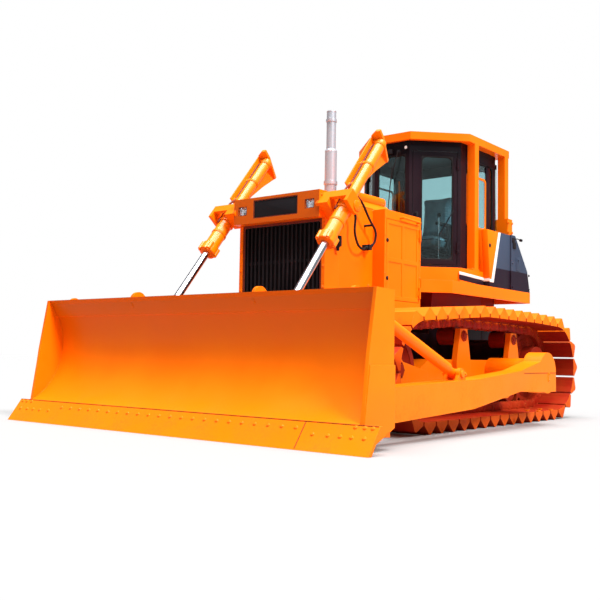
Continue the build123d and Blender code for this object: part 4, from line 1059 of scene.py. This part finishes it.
def makeStack(s):
    bm = bmesh.new()
    addTurned(bm, s["foot"], shift(*s["place"], hoodHigh.z - 0.002), 40)
    addBand(bm, shift(*s["place"], s["bandZ"]), 0.0635, 0.072, 0.020)
    addBand(bm, shift(*s["place"], stackHigh.z - 0.10), 0.051, 0.058, 0.016)
    addTurned(bm, s["cone"], shift(*s["place"], s["step"]), 40)
    addBlock(bm, *s["lug"])
    addTurned(bm, s["rim"], shift(*s["place"], stackHigh.z - 0.002), 40)
    finishPiece(bm, "stackBands", "stackSteel")
    bm = bmesh.new()
    addTurned(bm, s["mouth"], shift(*s["place"], stackHigh.z - 0.0015), 32)
    finishPiece(bm, "stackMouth", "soot")


def makeHood(h):
    bm = bmesh.new()
    addCap(bm, shift(*hoodCap["place"], hoodHigh.z - 0.003), hoodCap)
    finishPiece(bm, "hoodCaps", "bodyOrange")
    bm = bmesh.new()
    addBlock(bm, *h["cover"], 0.036)
    finishPiece(bm, "hoodCover", "bodyOrange")
    bm = bmesh.new()
    spots = [(hoodLow.x + h["rowIn"] + i * h["rowStep"], h["rowZ"]) for i in range(5)]
    spots += [(hoodHigh.x - h["frontIn"], z) for z in h["frontZ"]]
    for side in mirror:
        addBolts(bm, h["bolt"], onSide(side, hoodHigh.y - 0.0005, spots))
        latch = onSide(side, hoodHigh.y - 0.001, [h["latch"]])[0]
        addPanel(bm, latch, (0.016, 0.030), 0.008, 0.010)
        addPanel(bm, latch @ shift(0, 0.004, 0.009), (0.010, 0.022), 0.006, 0.010)
    addBolts(bm, h["bolt"], [aim((x, side * h["topY"], hoodHigh.z - 0.0005), (0, 0, 1))
                             for x in h["topX"] for side in mirror])
    finishPiece(bm, "hoodFasteners", "boltOrange")
    seams = [[(x, side * h["crossY"], hoodHigh.z) for side in mirror] for x in h["crossX"]]
    seams += [[(x, side * hoodHigh.y, z) for x in h["seamX"]] for side in mirror for z in h["seamZ"]]
    makeTubes("hoodSeams", seams, h["seam"], "seamDark")


makeStack(stack)
makeHood(hood)

# Service covers: latches and screws; bolts and top strip of the boxes
service = {"face": 0.650, "latchX": 0.290, "latchZ": (1.52, 1.92), "screw": (0.006, 0.004), "screwX": -0.335,
           "screwZ": (1.34, 1.46, 1.98, 2.10), "bolt": (0.008, 0.006), "boltX": (-0.372, 0.332),
           "boltZ": 1.17, "boltStep": 0.20, "strip": ((-0.380, 0.570, 2.2395), (0.340, 0.650, 2.2440)),
           "latch": [(0, 0.012), (0.010, 0.012), (0.016, 0.008), (0.022, 0.004), (0.024, -0.002)]}


def makeServiceDoors(s):
    seat = s["face"] - 0.0005
    for side, name in sides:
        bm = bmesh.new()
        for at in onSide(side, seat, [(s["latchX"], z) for z in s["latchZ"]]):
            addTurned(bm, s["latch"], at, 24)
            addBlock(bm, (-0.004, -0.014, 0.008), (0.004, 0.014, 0.015), 0.0015, at)
        finishPiece(bm, f"serviceLatch_{name}", "matBlack", f"service_door_{name}")
        bm = bmesh.new()
        addBolts(bm, s["screw"], onSide(side, seat, [(s["screwX"], z) for z in s["screwZ"]]))
        finishPiece(bm, f"serviceScrews_{name}", "boltOrange", f"service_door_{name}")
        bm = bmesh.new()
        spots = [(x, s["boltZ"] + i * s["boltStep"]) for x in s["boltX"] for i in range(6)]
        addBolts(bm, s["bolt"], onSide(side, seat, spots))
        addSideBlock(bm, side, *s["strip"], 0.002)
        finishPiece(bm, f"serviceBolts_{name}", "boltOrange")


makeServiceDoors(service)

# Lift cylinders: gland, bands, plate bolts and pipes on the barrel, a collar on the rod; places run along it
lift = {"gland": 0.486, "lobe": 0.082, "glandBolt": (0.014, 0.013), "bandAt": 0.22,
        "tubeBands": (-0.085, -0.60, -0.915), "plateX": -0.0975, "plateBolt": (0.010, 0.008), "pipe": 0.011,
        "plateSpots": ((0.36, 0.060), (0.66, 0.060), (0.93, 0.060), (0.93, -0.20), (0.66, -0.13),
                       (0.36, -0.080)),
        "collarAt": 1.35,
        "glandRing": [(0.0385, -0.002), (0.0385, 0.010), (0.060, 0.012), (0.072, 0.006), (0.086, 0.005),
                      (0.086, -0.002)],
        "collar": [(0.0385, -0.02), (0.050, -0.012), (0.062, 0.030), (0.060, 0.050), (0.045, 0.062)],
        "pipes": (((-0.030, 0.078, 0.10), (-0.040, 0.078, -0.20), (-0.060, 0.030, -0.30),
                   (-0.070, 0.030, -0.90), (-0.040, 0.020, -0.955)),
                  ((-0.010, -0.078, 0.06), (-0.020, -0.085, -0.22), (-0.070, -0.060, -0.32),
                   (-0.070, -0.060, -0.80), (-0.040, -0.045, -0.86)))}


def liftFrame(side):
    # Z points down the cylinder from the yoke pin, X across the machine to the left, Y to the front
    pin, eye = (Vector((x, side * y, z)) for x, y, z in (liftPins["yoke"], liftPins["eye"]))
    down = (eye - pin).normalized()
    across = Vector((0, 1, 0))
    return Matrix.Translation(pin) @ Matrix((across, down.cross(across), down)).transposed().to_4x4()


def makeLiftDetails(c):
    for side, name in sides:
        at = liftFrame(side)
        bm = bmesh.new()
        gland = at @ shift(0, 0, c["gland"])
        addTurned(bm, c["glandRing"], gland, 40)
        lobes = [gland @ spin((i + 0.5) / 4) @ shift(c["lobe"], 0, -0.001) for i in range(4)]
        addBolts(bm, c["glandBolt"], lobes)
        addBand(bm, at @ shift(0, 0, c["bandAt"]), 0.0745, 0.080, 0.014)
        for z in c["tubeBands"]:
            addBand(bm, at @ shift(0, 0, z), 0.0545, 0.061, 0.014, 36)
        spots = [at @ shift(c["plateX"], ahead, -up) for up, ahead in c["plateSpots"]]
        addBolts(bm, c["plateBolt"], [spot @ Matrix.Rotation(-math.pi / 2, 4, "Y") for spot in spots])
        finishPiece(bm, f"liftBolts_{name}", "boltOrange", f"lift_barrel_{name}")
        pipes = [moved(at, path) for path in c["pipes"]]
        makeTubes(f"liftPipes_{name}", pipes, c["pipe"], "maroon", f"lift_barrel_{name}", bend=0.05)
        bm = bmesh.new()
        addTurned(bm, c["collar"], at @ shift(0, 0, c["collarAt"]), 32)
        finishPiece(bm, f"rodCollar_{name}", "bodyOrange", f"lift_rod_{name}")


makeLiftDetails(lift)
print("guard, hood and cylinders ready")


# Cab windows: gaskets, mullions, sashes and quarter panes; gasket, handle, screws and wiper of each door
cab = {"front": -0.790, "rear": -2.150, "half": 0.690, "nose": 0.245, "windowZ": (2.270, 3.110),
       "shieldZ": 2.080, "sideX": (-2.090, -1.365), "rearHalf": 0.570, "shieldHalf": 0.200, "corner": 0.045,
       "gasketIn": 0.0135, "sash": (-1.643, 0.6785, 2.604), "quarter": (-2.1735, 0.684),
       "quarterFrame": ((-2.196, 0.670), (-2.1505, 0.6895)), "quarterZ": (2.2555, 3.170)}
door = {"z": (1.790, 3.150), "pane": (0.19615, 0.622), "paneShift": 0.0275, "paneIn": 0.0195,
        "screw": (0.006, 0.004), "screwX": 0.245, "screwY": (-0.55, -0.45, 0.35, 0.45),
        "handle": (-0.225, -0.12), "wiper": 0.0055,
        "key": [(0, 0.014), (0.009, 0.014), (0.012, 0.010), (0.013, 0.004)],
        "arm": ((0.232, -0.030, 0.006), (0.205, -0.060, 0.022), (0.110, -0.230, 0.010)),
        "blade": ((0.180, -0.105, -0.004), (0.052, -0.336, -0.004))}


def doorFrame(side):
    # on the outer face of a slanted door: X runs to the rear, Y up, Z outwards
    run = cab["half"] - cab["nose"]
    centre = Vector((cab["front"] - run / 2, side * (cab["nose"] + run / 2), sum(door["z"]) / 2))
    back, out = Vector((-1, side, 0)).normalized(), Vector((1, side, 0)).normalized()
    return Matrix.Translation(centre) @ Matrix((back, (0, 0, 1), out)).transposed().to_4x4()


def makeWindows(c):
    low, high = c["windowZ"]
    middle, half = (low + high) / 2, (high - low) / 2
    rear, ahead = c["sideX"]
    sideAt = [sideways((rear + ahead) / 2, side * (c["half"] - c["gasketIn"]), middle, side)
              for side in mirror]
    openings = [(facing(c["front"] - c["gasketIn"], 0, (c["shieldZ"] + high) / 2),
                 (c["shieldHalf"], (high - c["shieldZ"]) / 2)),
                (rearward(c["rear"] + c["gasketIn"], 0, middle), (c["rearHalf"], half))]
    openings += [(at, ((ahead - rear) / 2, half)) for at in sideAt]
    gaskets, mullions, sashes, panes, frames = (bmesh.new() for _ in range(5))
    for at, size in openings:
        addFrame(gaskets, at, grown(size, -0.0005), grown(size, -0.016), 0.001, c["corner"], 0.010, 0.003)
    for side, at in zip(mirror, sideAt):
        addBlock(mullions, (0.180, -half, -0.007), (0.285, half, 0.010), 0.003, at)
        x, y, z = c["sash"]
        addFrame(sashes, sideways(x, side * y, z, side), (0.260, 0.326), (0.232, 0.298), 0.050, 0.040, 0.010,
                 0.003)
        x, y = c["quarter"]
        addPanel(panes, sideways(x, side * y, middle, side), (0.0205, half), 0.003, 0.005, 0.001)
        for bottom, top in ((high, c["quarterZ"][1]), (c["quarterZ"][0], low)):
            near, far = c["quarterFrame"]
            addSideBlock(frames, side, (*near, bottom), (*far, top), 0.002)
    finishPiece(gaskets, "windowGaskets", "rubber")
    finishPiece(mullions, "sideMullions", "cabBrown")
    finishPiece(sashes, "sideSashes", "bodyOrange")
    finishPiece(panes, "quarterPanes", "cabGlass")
    finishPiece(frames, "quarterFrames", "cabBrown")


def makeDoorFittings(d):
    for side, name in sides:
        at = doorFrame(side)
        bm = bmesh.new()
        addFrame(bm, at @ shift(d["paneShift"], 0, -d["paneIn"]), grown(d["pane"], -0.0005),
                 (d["pane"][0] - 0.016, d["pane"][1] - 0.018), 0.001, 0.055, 0.016, 0.004)
        finishPiece(bm, f"doorGasket_{name}", "rubber", f"cab_door_{name}")
        bm = bmesh.new()
        handle = at @ shift(*d["handle"], 0)
        addPanel(bm, handle @ shift(0, 0, -0.001), (0.020, 0.065), 0.012, 0.008)
        addBlock(bm, (-0.010, -0.050, 0.005), (0.010, -0.030, 0.040), 0.003, handle)
        addBlock(bm, (-0.010, -0.050, 0.028), (0.010, 0.058, 0.042), 0.005, handle)
        addTurned(bm, d["key"], handle @ shift(0, 0.045, 0), 20)
        finishPiece(bm, f"doorHandle_{name}", "matBlack", f"cab_door_{name}")
        bm = bmesh.new()
        addBolts(bm, d["screw"], [at @ shift(d["screwX"], y, -0.0005) for y in d["screwY"]])
        finishPiece(bm, f"doorScrews_{name}", "cabBrown", f"cab_door_{name}")
        wiper = [moved(at, d["arm"]), moved(at, d["blade"])]
        makeTubes(f"doorWiper_{name}", wiper, d["wiper"], "rubber", f"cab_door_{name}")


makeWindows(cab)
makeDoorFittings(door)

# Over the windshield: wiper and two work lamps
trim = {"motor": [(0, 0.030), (0.014, 0.030), (0.020, 0.022), (0.022, 0.004), (0.030, 0.002),
                  (0.031, -0.003)],
        "housing": ((-0.10, 3.125, -0.002), (0.02, 3.185, 0.036)), "pivot": (0.10, 3.145, -0.001),
        "wiper": 0.0055,
        "arm": ((0.10, 3.145, 0.026), (0.04, 2.92, 0.034), (-0.02, 2.72, 0.012)),
        "blade": ((0.005, 2.98, 0.002), (-0.045, 2.46, 0.002)), "lamp": (0.215, 3.180),
        "shell": [(0.012, -0.002), (0.020, 0.004), (0.024, 0.016), (0.024, 0.034), (0.021, 0.036),
                  (0.021, 0.030)],
        "lens": [(0, 0.0345), (0.012, 0.034), (0.0208, 0.0315), (0.0208, 0.028)]}


def makeCabTrim(t):
    shield = facing(cab["front"], 0, 0)
    bm = bmesh.new()
    addTurned(bm, t["motor"], shield @ shift(*t["pivot"]), 24)
    addBlock(bm, *t["housing"], 0.010, shield)
    finishPiece(bm, "wiperMotor", "matBlack")
    wiper = [moved(shield, t["arm"]), moved(shield, t["blade"])]
    makeTubes("frontWiper", wiper, t["wiper"], "rubber", bend=0.06)
    y, z = t["lamp"]
    shells, lenses = bmesh.new(), bmesh.new()
    for side in mirror:
        at = facing(cab["front"], side * y, z)
        addTurned(shells, t["shell"], at, 28)
        addTurned(lenses, t["lens"], at, 28)
    finishPiece(shells, "workLampShells", "matBlack")
    finishPiece(lenses, "workLampLenses", "whiteTrim")


makeCabTrim(trim)

# Side cabinets behind the front posts: orange ahead of the white stripe, dark behind and below it
cabinet = {"inner": 0.6905, "base": 0.8005, "outer": 0.885, "floor": 1.5605, "deck": 1.7415, "top": 2.250,
           "rear": -2.174, "foot": (-1.610, 1.662), "corner": (-1.683, 1.634), "head": (-1.872, 2.250),
           "brow": (-1.545, 2.250), "stripe": 0.034, "stripeStart": -1.003, "lock": (-1.610, 2.060),
           "lockShape": [(0, 0.010), (0.012, 0.010), (0.018, 0.006), (0.026, 0.003), (0.028, -0.002)]}


def makeCabinets(c):
    footX = c["foot"][0]
    (cornerX, cornerZ), (headX, headZ) = c["corner"], c["head"]
    lean = (headX - cornerX) / (headZ - cornerZ)
    onDeck = (cornerX + lean * (c["deck"] - cornerZ), c["deck"])
    rearTop, rearDeck, rearFloor = ((c["rear"], c[label]) for label in ("top", "deck", "floor"))
    wide, low, high = c["stripe"] * 0.85, cornerZ - c["stripe"] / 2, cornerZ + c["stripe"] / 2
    tip = c["top"] - 0.004
    stripe = [(footX, high), (footX, low), (cornerX - wide, low), (headX - wide - lean * 0.004, tip),
              (headX + wide, tip), (cornerX + wide, high)]
    start, end = c["stripeStart"], footX + 0.001
    lit, dark, white, locks = (bmesh.new() for _ in range(4))
    for side in mirror:
        inner, base, outer = (side * c[label] for label in ("inner", "base", "outer"))
        addPrism(lit, [c["foot"], c["corner"], c["head"], c["brow"]], base, outer)
        addPrism(lit, [(footX + 0.010, c["deck"]), onDeck, c["head"], c["brow"]], inner, base)
        addPrism(dark, [c["foot"], (footX, c["floor"]), rearFloor, rearTop, c["head"], c["corner"]], base,
                 outer)
        addPrism(dark, [onDeck, rearDeck, rearTop, c["head"]], inner, base)
        addPrism(white, stripe, outer - side * 0.001, outer + side * 0.003, 0.0008)
        addPrism(white, [(start, 1.696), (start, 1.662), (end, 1.638), (end, 1.672)], base - side * 0.001,
                 base + side * 0.003, 0.0008)
        addPrism(dark, [(start, 1.6615), (start, 1.600), (end, 1.575), (end, 1.6375)], base - side * 0.001,
                 base + side * 0.002, 0.0006)
        addSideBlock(white, side, (footX - 0.001, c["base"], 1.626), (footX + 0.003, c["outer"], 1.660),
                     0.0008)
        lock = sideways(c["lock"][0], outer, c["lock"][1], side)
        addTurned(locks, c["lockShape"], lock, 24)
        addBlock(locks, (-0.004, -0.012, 0.006), (0.004, 0.012, 0.014), 0.0015, lock)
    finishPiece(lit, "cabinetFronts", "bodyOrange")
    finishPiece(dark, "cabinetRears", "tankSlate")
    finishPiece(white, "whiteStripes", "whiteTrim")
    finishPiece(locks, "cabinetLocks", "matBlack")


makeCabinets(cabinet)

# Rear tank: cap, plates and bolts, rear lamps, stays with their stalks, seams
tankLow, tankHigh = box("fuel_tank")
tankCap = {"place": (-2.235, 0.40), "segments": 40, "grips": 10,
           "grip": ((0.056, -0.006, 0.020), (0.066, 0.006, 0.044)),
           "profile": [(0, 0.058), (0.040, 0.058), (0.056, 0.050), (0.060, 0.040), (0.060, 0.018),
                       (0.046, 0.014), (0.046, 0.006), (0.066, 0.004), (0.070, -0.002)]}
tank = {"plate": (-2.37, 1.90), "bolt": (0.012, 0.009), "rearBolts": (0.30, 0.60, 0.84), "rearBoltZ": 1.60,
        "sideBolts": ((-2.70, 1.60), (-2.70, 1.78), (-2.21, 1.60), (-2.21, 1.90), (-2.21, 2.20)),
        "plug": [(0, 0.012), (0.012, 0.012), (0.014, 0.006), (0.014, 0)], "lamp": (0.78, 1.70),
        "stays": (((-2.300, 0.8845, 2.085), (-2.215, 0.912, 2.170)),
                  ((-2.265, 0.8845, 2.160), (-2.195, 0.912, 2.225))),
        "stalk": ((-2.240, 2.200), (-2.340, 2.225), (-2.440, 2.215)), "stalkY": 0.905,
        "tip": [(0, 0.030), (0.014, 0.030), (0.018, 0.024), (0.018, -0.010), (0, -0.014)],
        "seam": ((-2.1755, 2.2555), (-2.29, 2.2555), (-2.654, 1.8305), (-2.7335, 1.562)), "seamY": 0.30}


def makeTankDetails(t):
    bm = bmesh.new()
    addCap(bm, shift(*tankCap["place"], tankHigh.z - 0.001), tankCap)
    finishPiece(bm, "tankCap", "maroon")
    bm, frames, lenses, stays = (bmesh.new() for _ in range(4))
    stalks = []
    for side in mirror:
        plate = sideways(t["plate"][0], side * (tankHigh.y - 0.001), t["plate"][1], side)
        addPanel(bm, plate, (0.060, 0.090), 0.010, 0.007)
        addTurned(bm, t["plug"], plate @ shift(0, 0.05, 0.006), 20)
        addBolts(bm, t["bolt"], onSide(side, tankHigh.y - 0.0005, t["sideBolts"]))
        spots = [(tankLow.x + 0.0005, side * y, t["rearBoltZ"]) for y in t["rearBolts"]]
        addBolts(bm, t["bolt"], [aim(spot, (-1, 0, 0)) for spot in spots])
        at = rearward(tankLow.x + 0.001, side * t["lamp"][0], t["lamp"][1])
        addFrame(frames, at, (0.062, 0.040), (0.054, 0.032), 0.010, 0.008, 0.005)
        addPanel(lenses, at, (0.0535, 0.0315), 0.008, 0.0035, 0.001)
        for stay in t["stays"]:
            addSideBlock(stays, side, *stay, 0.008)
        stalks.append([(x, side * t["stalkY"], z) for x, z in t["stalk"]])
        addTurned(stays, t["tip"], aim(stalks[-1][-1], (-1, 0, 0)), 24)
    finishPiece(bm, "tankBolts", "tankSlate")
    finishPiece(frames, "rearLampFrames", "matBlack")
    finishPiece(lenses, "rearLampLenses", "redLens")
    finishPiece(stays, "tankStays", "matBlack")
    makeTubes("tankStalks", stalks, 0.006, "matBlack", bend=0.04)
    seams = [[(x, side * t["seamY"], z) for x, z in t["seam"]] for side in mirror]
    makeTubes("tankSeams", seams, 0.003, "tankSlate", bend=0.004)


makeTankDetails(tank)

# Frame cover under the tank, behind the hull
rearCover = {"half": 0.404, "z": (0.86, 1.558), "reach": 0.378, "rib": 0.030, "ribHalf": 0.010,
             "ribs": (-0.30, -0.10, 0.10, 0.30)}


def makeRearCover(c):
    hullRear = box("main_frame")[0].x
    low, high = c["z"]
    bm = bmesh.new()
    addBlock(bm, (hullRear - c["reach"], -c["half"], low), (hullRear - 0.0005, c["half"], high), 0.012)
    for y in c["ribs"]:
        addBlock(bm, (hullRear - c["reach"] - c["rib"], y - c["ribHalf"], low + 0.02),
                 (hullRear - c["reach"] + 0.005, y + c["ribHalf"], high - 0.02), 0.004)
    # in the hull's painted shade colour
    finishPiece(bm, "rearCover", "hullShade")


makeRearCover(rearCover)

# Seat: two simulated cushions with piping on a base; bars are given for the left as low and high corners
seat = {"cushion": ((-1.850, -0.235, 2.085), (-1.410, 0.235, 2.195)), "round": 0.040, "voxel": 0.006,
        "quickVoxel": 0.02, "pressure": 4, "frames": 20, "cap": 0.026, "pivot": (-1.872, 0, 2.235), "lean": 5,
        "back": ((-0.075, -0.215, 2.235), (0.035, 0.215, 2.775)), "piping": (-1.838, -1.416, 0.222, 2.165),
        "blocks": (((-1.840, -0.230, 2.020), (-1.420, 0.230, 2.085), 0.015),
                   ((-1.800, -0.170, 1.800), (-1.470, 0.170, 1.850), 0.010),
                   ((-1.860, -0.240, 1.7405), (-1.410, 0.240, 1.775), 0.010),
                   ((-1.955, -0.205, 2.240), (-1.940, 0.205, 2.760), 0.006)),
        "arms": (((-1.840, 0.240, 2.000), (-1.700, 0.256, 2.350), 0.006),
                 ((-1.840, 0.197, 2.345), (-1.480, 0.253, 2.395), 0.018)),
        "folds": 5, "foldZ": 1.855, "foldStep": 0.034, "foldHeight": 0.022, "foldX": (-1.800, -1.470),
        "foldY": (0.148, 0.172)}


def applyModifiers(piece):
    evaluated = piece.evaluated_get(bpy.context.evaluated_depsgraph_get())
    mesh = bpy.data.meshes.new_from_object(evaluated)
    piece.modifiers.clear()
    piece.data = mesh


def puffUp(cushion, s):
    # pressed out by air as cloth, by no more than the cap
    rest = [vert.co.copy() for vert in cushion.data.vertices]
    cloth = cushion.modifiers.new("cloth", "CLOTH")
    cloth.settings.use_pressure = True
    cloth.settings.uniform_pressure_force = s["pressure"]
    cloth.settings.effector_weights.gravity = 0
    for number in range(1, s["frames"] + 1):
        bpy.context.scene.frame_set(number)
    applyModifiers(cushion)
    bpy.context.scene.frame_set(1)
    for vert, start in zip(cushion.data.vertices, rest):
        move = vert.co - start
        if move.length > s["cap"]:
            vert.co = start + move.normalized() * s["cap"]


def makeCushion(name, corners, at, s):
    bm = bmesh.new()
    addBlock(bm, *corners, s["round"], at)
    cushion = finishPiece(bm, name, "seatCloth")
    remesh = cushion.modifiers.new("remesh", "REMESH")
    remesh.mode = "VOXEL"
    remesh.voxel_size = s["voxel"]
    remesh.use_smooth_shade = True
    applyModifiers(cushion)
    puffUp(cushion, s)
    for polygon in cushion.data.polygons:
        polygon.use_smooth = True
    smooth = cushion.modifiers.new("subdivision", "SUBSURF")
    smooth.levels = smooth.render_levels = 1
    return cushion


def makeSeat(s):
    x, y, z = s["pivot"]
    lean = shift(x, y, z) @ Matrix.Rotation(math.radians(-s["lean"]), 4, "Y") @ shift(0, 0, -z)
    bottom = makeCushion("seatCushion", s["cushion"], Matrix(), s)
    back = makeCushion("seatBack", s["back"], lean, s)
    bm = bmesh.new()
    for low, high, bevel in s["blocks"]:
        addBlock(bm, low, high, bevel)
    for side in mirror:
        for low, high, bevel in s["arms"]:
            addSideBlock(bm, side, low, high, bevel)
        for i in range(s["folds"]):
            z = s["foldZ"] + i * s["foldStep"]
            (rear, ahead), (near, far) = s["foldX"], s["foldY"]
            addSideBlock(bm, side, (rear, near, z), (ahead, far, z + s["foldHeight"]), 0.008)
    shell = finishPiece(bm, "seatBase", "matBlack")
    for piece in (bottom, back, shell):
        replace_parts(piece, "seat")
    rear, ahead, half, z = s["piping"]
    loop = [(rear, -half, z), (ahead, -half, z), (ahead, half, z), (rear, half, z)]
    makeTubes("seatPiping", [loop], 0.005, "rubber", bend=0.05, closed=True)


makeSeat(seat)

# Inside the cab: dashboard with gauges and pedals, levers with knobs, side consoles
controls = {"dashHalf": 0.138, "gauges": 5, "gaugeY": -0.100, "gaugeStep": 0.050, "gaugeIn": 0.085,
            "gauge": [(0, 0.003), (0.016, 0.003), (0.018, 0.006), (0.021, 0.006), (0.022, -0.001)],
            "pedals": (-0.10, 0.0, 0.10), "pedalHalf": 0.030, "pedalZ": (1.800, 1.880), "rod": 0.009,
            "levers": (((-1.30, 0.36, 1.745), (-1.30, 0.36, 2.30), (-1.34, 0.34, 2.42)),
                       ((-1.40, -0.36, 1.745), (-1.40, -0.36, 2.25), (-1.42, -0.34, 2.36)),
                       ((-1.52, -0.36, 1.745), (-1.52, -0.36, 2.20), (-1.54, -0.34, 2.32))),
            "knob": [(0, 0.050), (0.012, 0.048), (0.022, 0.034), (0.023, 0.016), (0.014, -0.010),
                     (0.011, -0.020)],
            "console": ((-1.85, 0.30, 1.7405), (-1.25, 0.46, 1.90))}


def makeControls(c):
    low, high = box("console")
    bm = bmesh.new()
    addBlock(bm, (low.x + 0.012, -c["dashHalf"], high.z - 0.004),
             (high.x - 0.012, c["dashHalf"], high.z + 0.014), 0.005)
    for i in range(c["gauges"]):
        place = (low.x + c["gaugeIn"], c["gaugeY"] + i * c["gaugeStep"], high.z + 0.0135)
        addTurned(bm, c["gauge"], aim(place, (0, 0, 1)), 24)
    bottom, top = c["pedalZ"]
    for y in c["pedals"]:
        addBlock(bm, (low.x - 0.020, y - c["pedalHalf"], bottom), (low.x - 0.006, y + c["pedalHalf"], top),
                 0.005)
    finishPiece(bm, "dashBits", "matBlack")
    makeTubes("leverRods", c["levers"], c["rod"], "chrome", bend=0.10)
    bm = bmesh.new()
    for lever in c["levers"]:
        addTurned(bm, c["knob"], aim(lever[-1], (0, 0, 1)), 24)
    for side in mirror:
        addSideBlock(bm, side, *c["console"], 0.020)
    finishPiece(bm, "leverKnobs", "matBlack")


makeControls(controls)

# Rollover frame: foot plates of the front posts, bolts of both posts
posts = {"foot": (-1.43, 0.75), "footHalf": (0.085, 0.049), "footZ": (1.7405, 1.760),
         "footBolt": (0.010, 0.009), "footSpots": (0.068, 0.030), "bolt": (0.016, 0.012), "sideY": 0.8395,
         "sideBolts": ((-2.315, 2.30), (-2.215, 2.30), (-2.315, 2.42), (-2.215, 2.42)),
         "rearX": -2.3295, "rearBolts": ((0.69, 2.31), (0.69, 2.42), (0.81, 2.31), (0.81, 2.42))}


def makePostDetails(p):
    bm = bmesh.new()
    (x, y), (halfX, halfY) = p["foot"], p["footHalf"]
    (low, high), (alongX, alongY) = p["footZ"], p["footSpots"]
    for side in mirror:
        addSideBlock(bm, side, (x - halfX, y - halfY, low), (x + halfX, y + halfY, high), 0.004)
        addBolts(bm, p["footBolt"], [shift(x + dx * alongX, side * y + dy * alongY, high - 0.0005)
                                     for dx in mirror for dy in mirror])
        addBolts(bm, p["bolt"], onSide(side, p["sideY"], p["sideBolts"]))
        addBolts(bm, p["bolt"], [aim((p["rearX"], side * y, z), (-1, 0, 0)) for y, z in p["rearBolts"]])
    finishPiece(bm, "postBolts", "boltOrange")


makePostDetails(posts)
print("cab outside and tank ready")
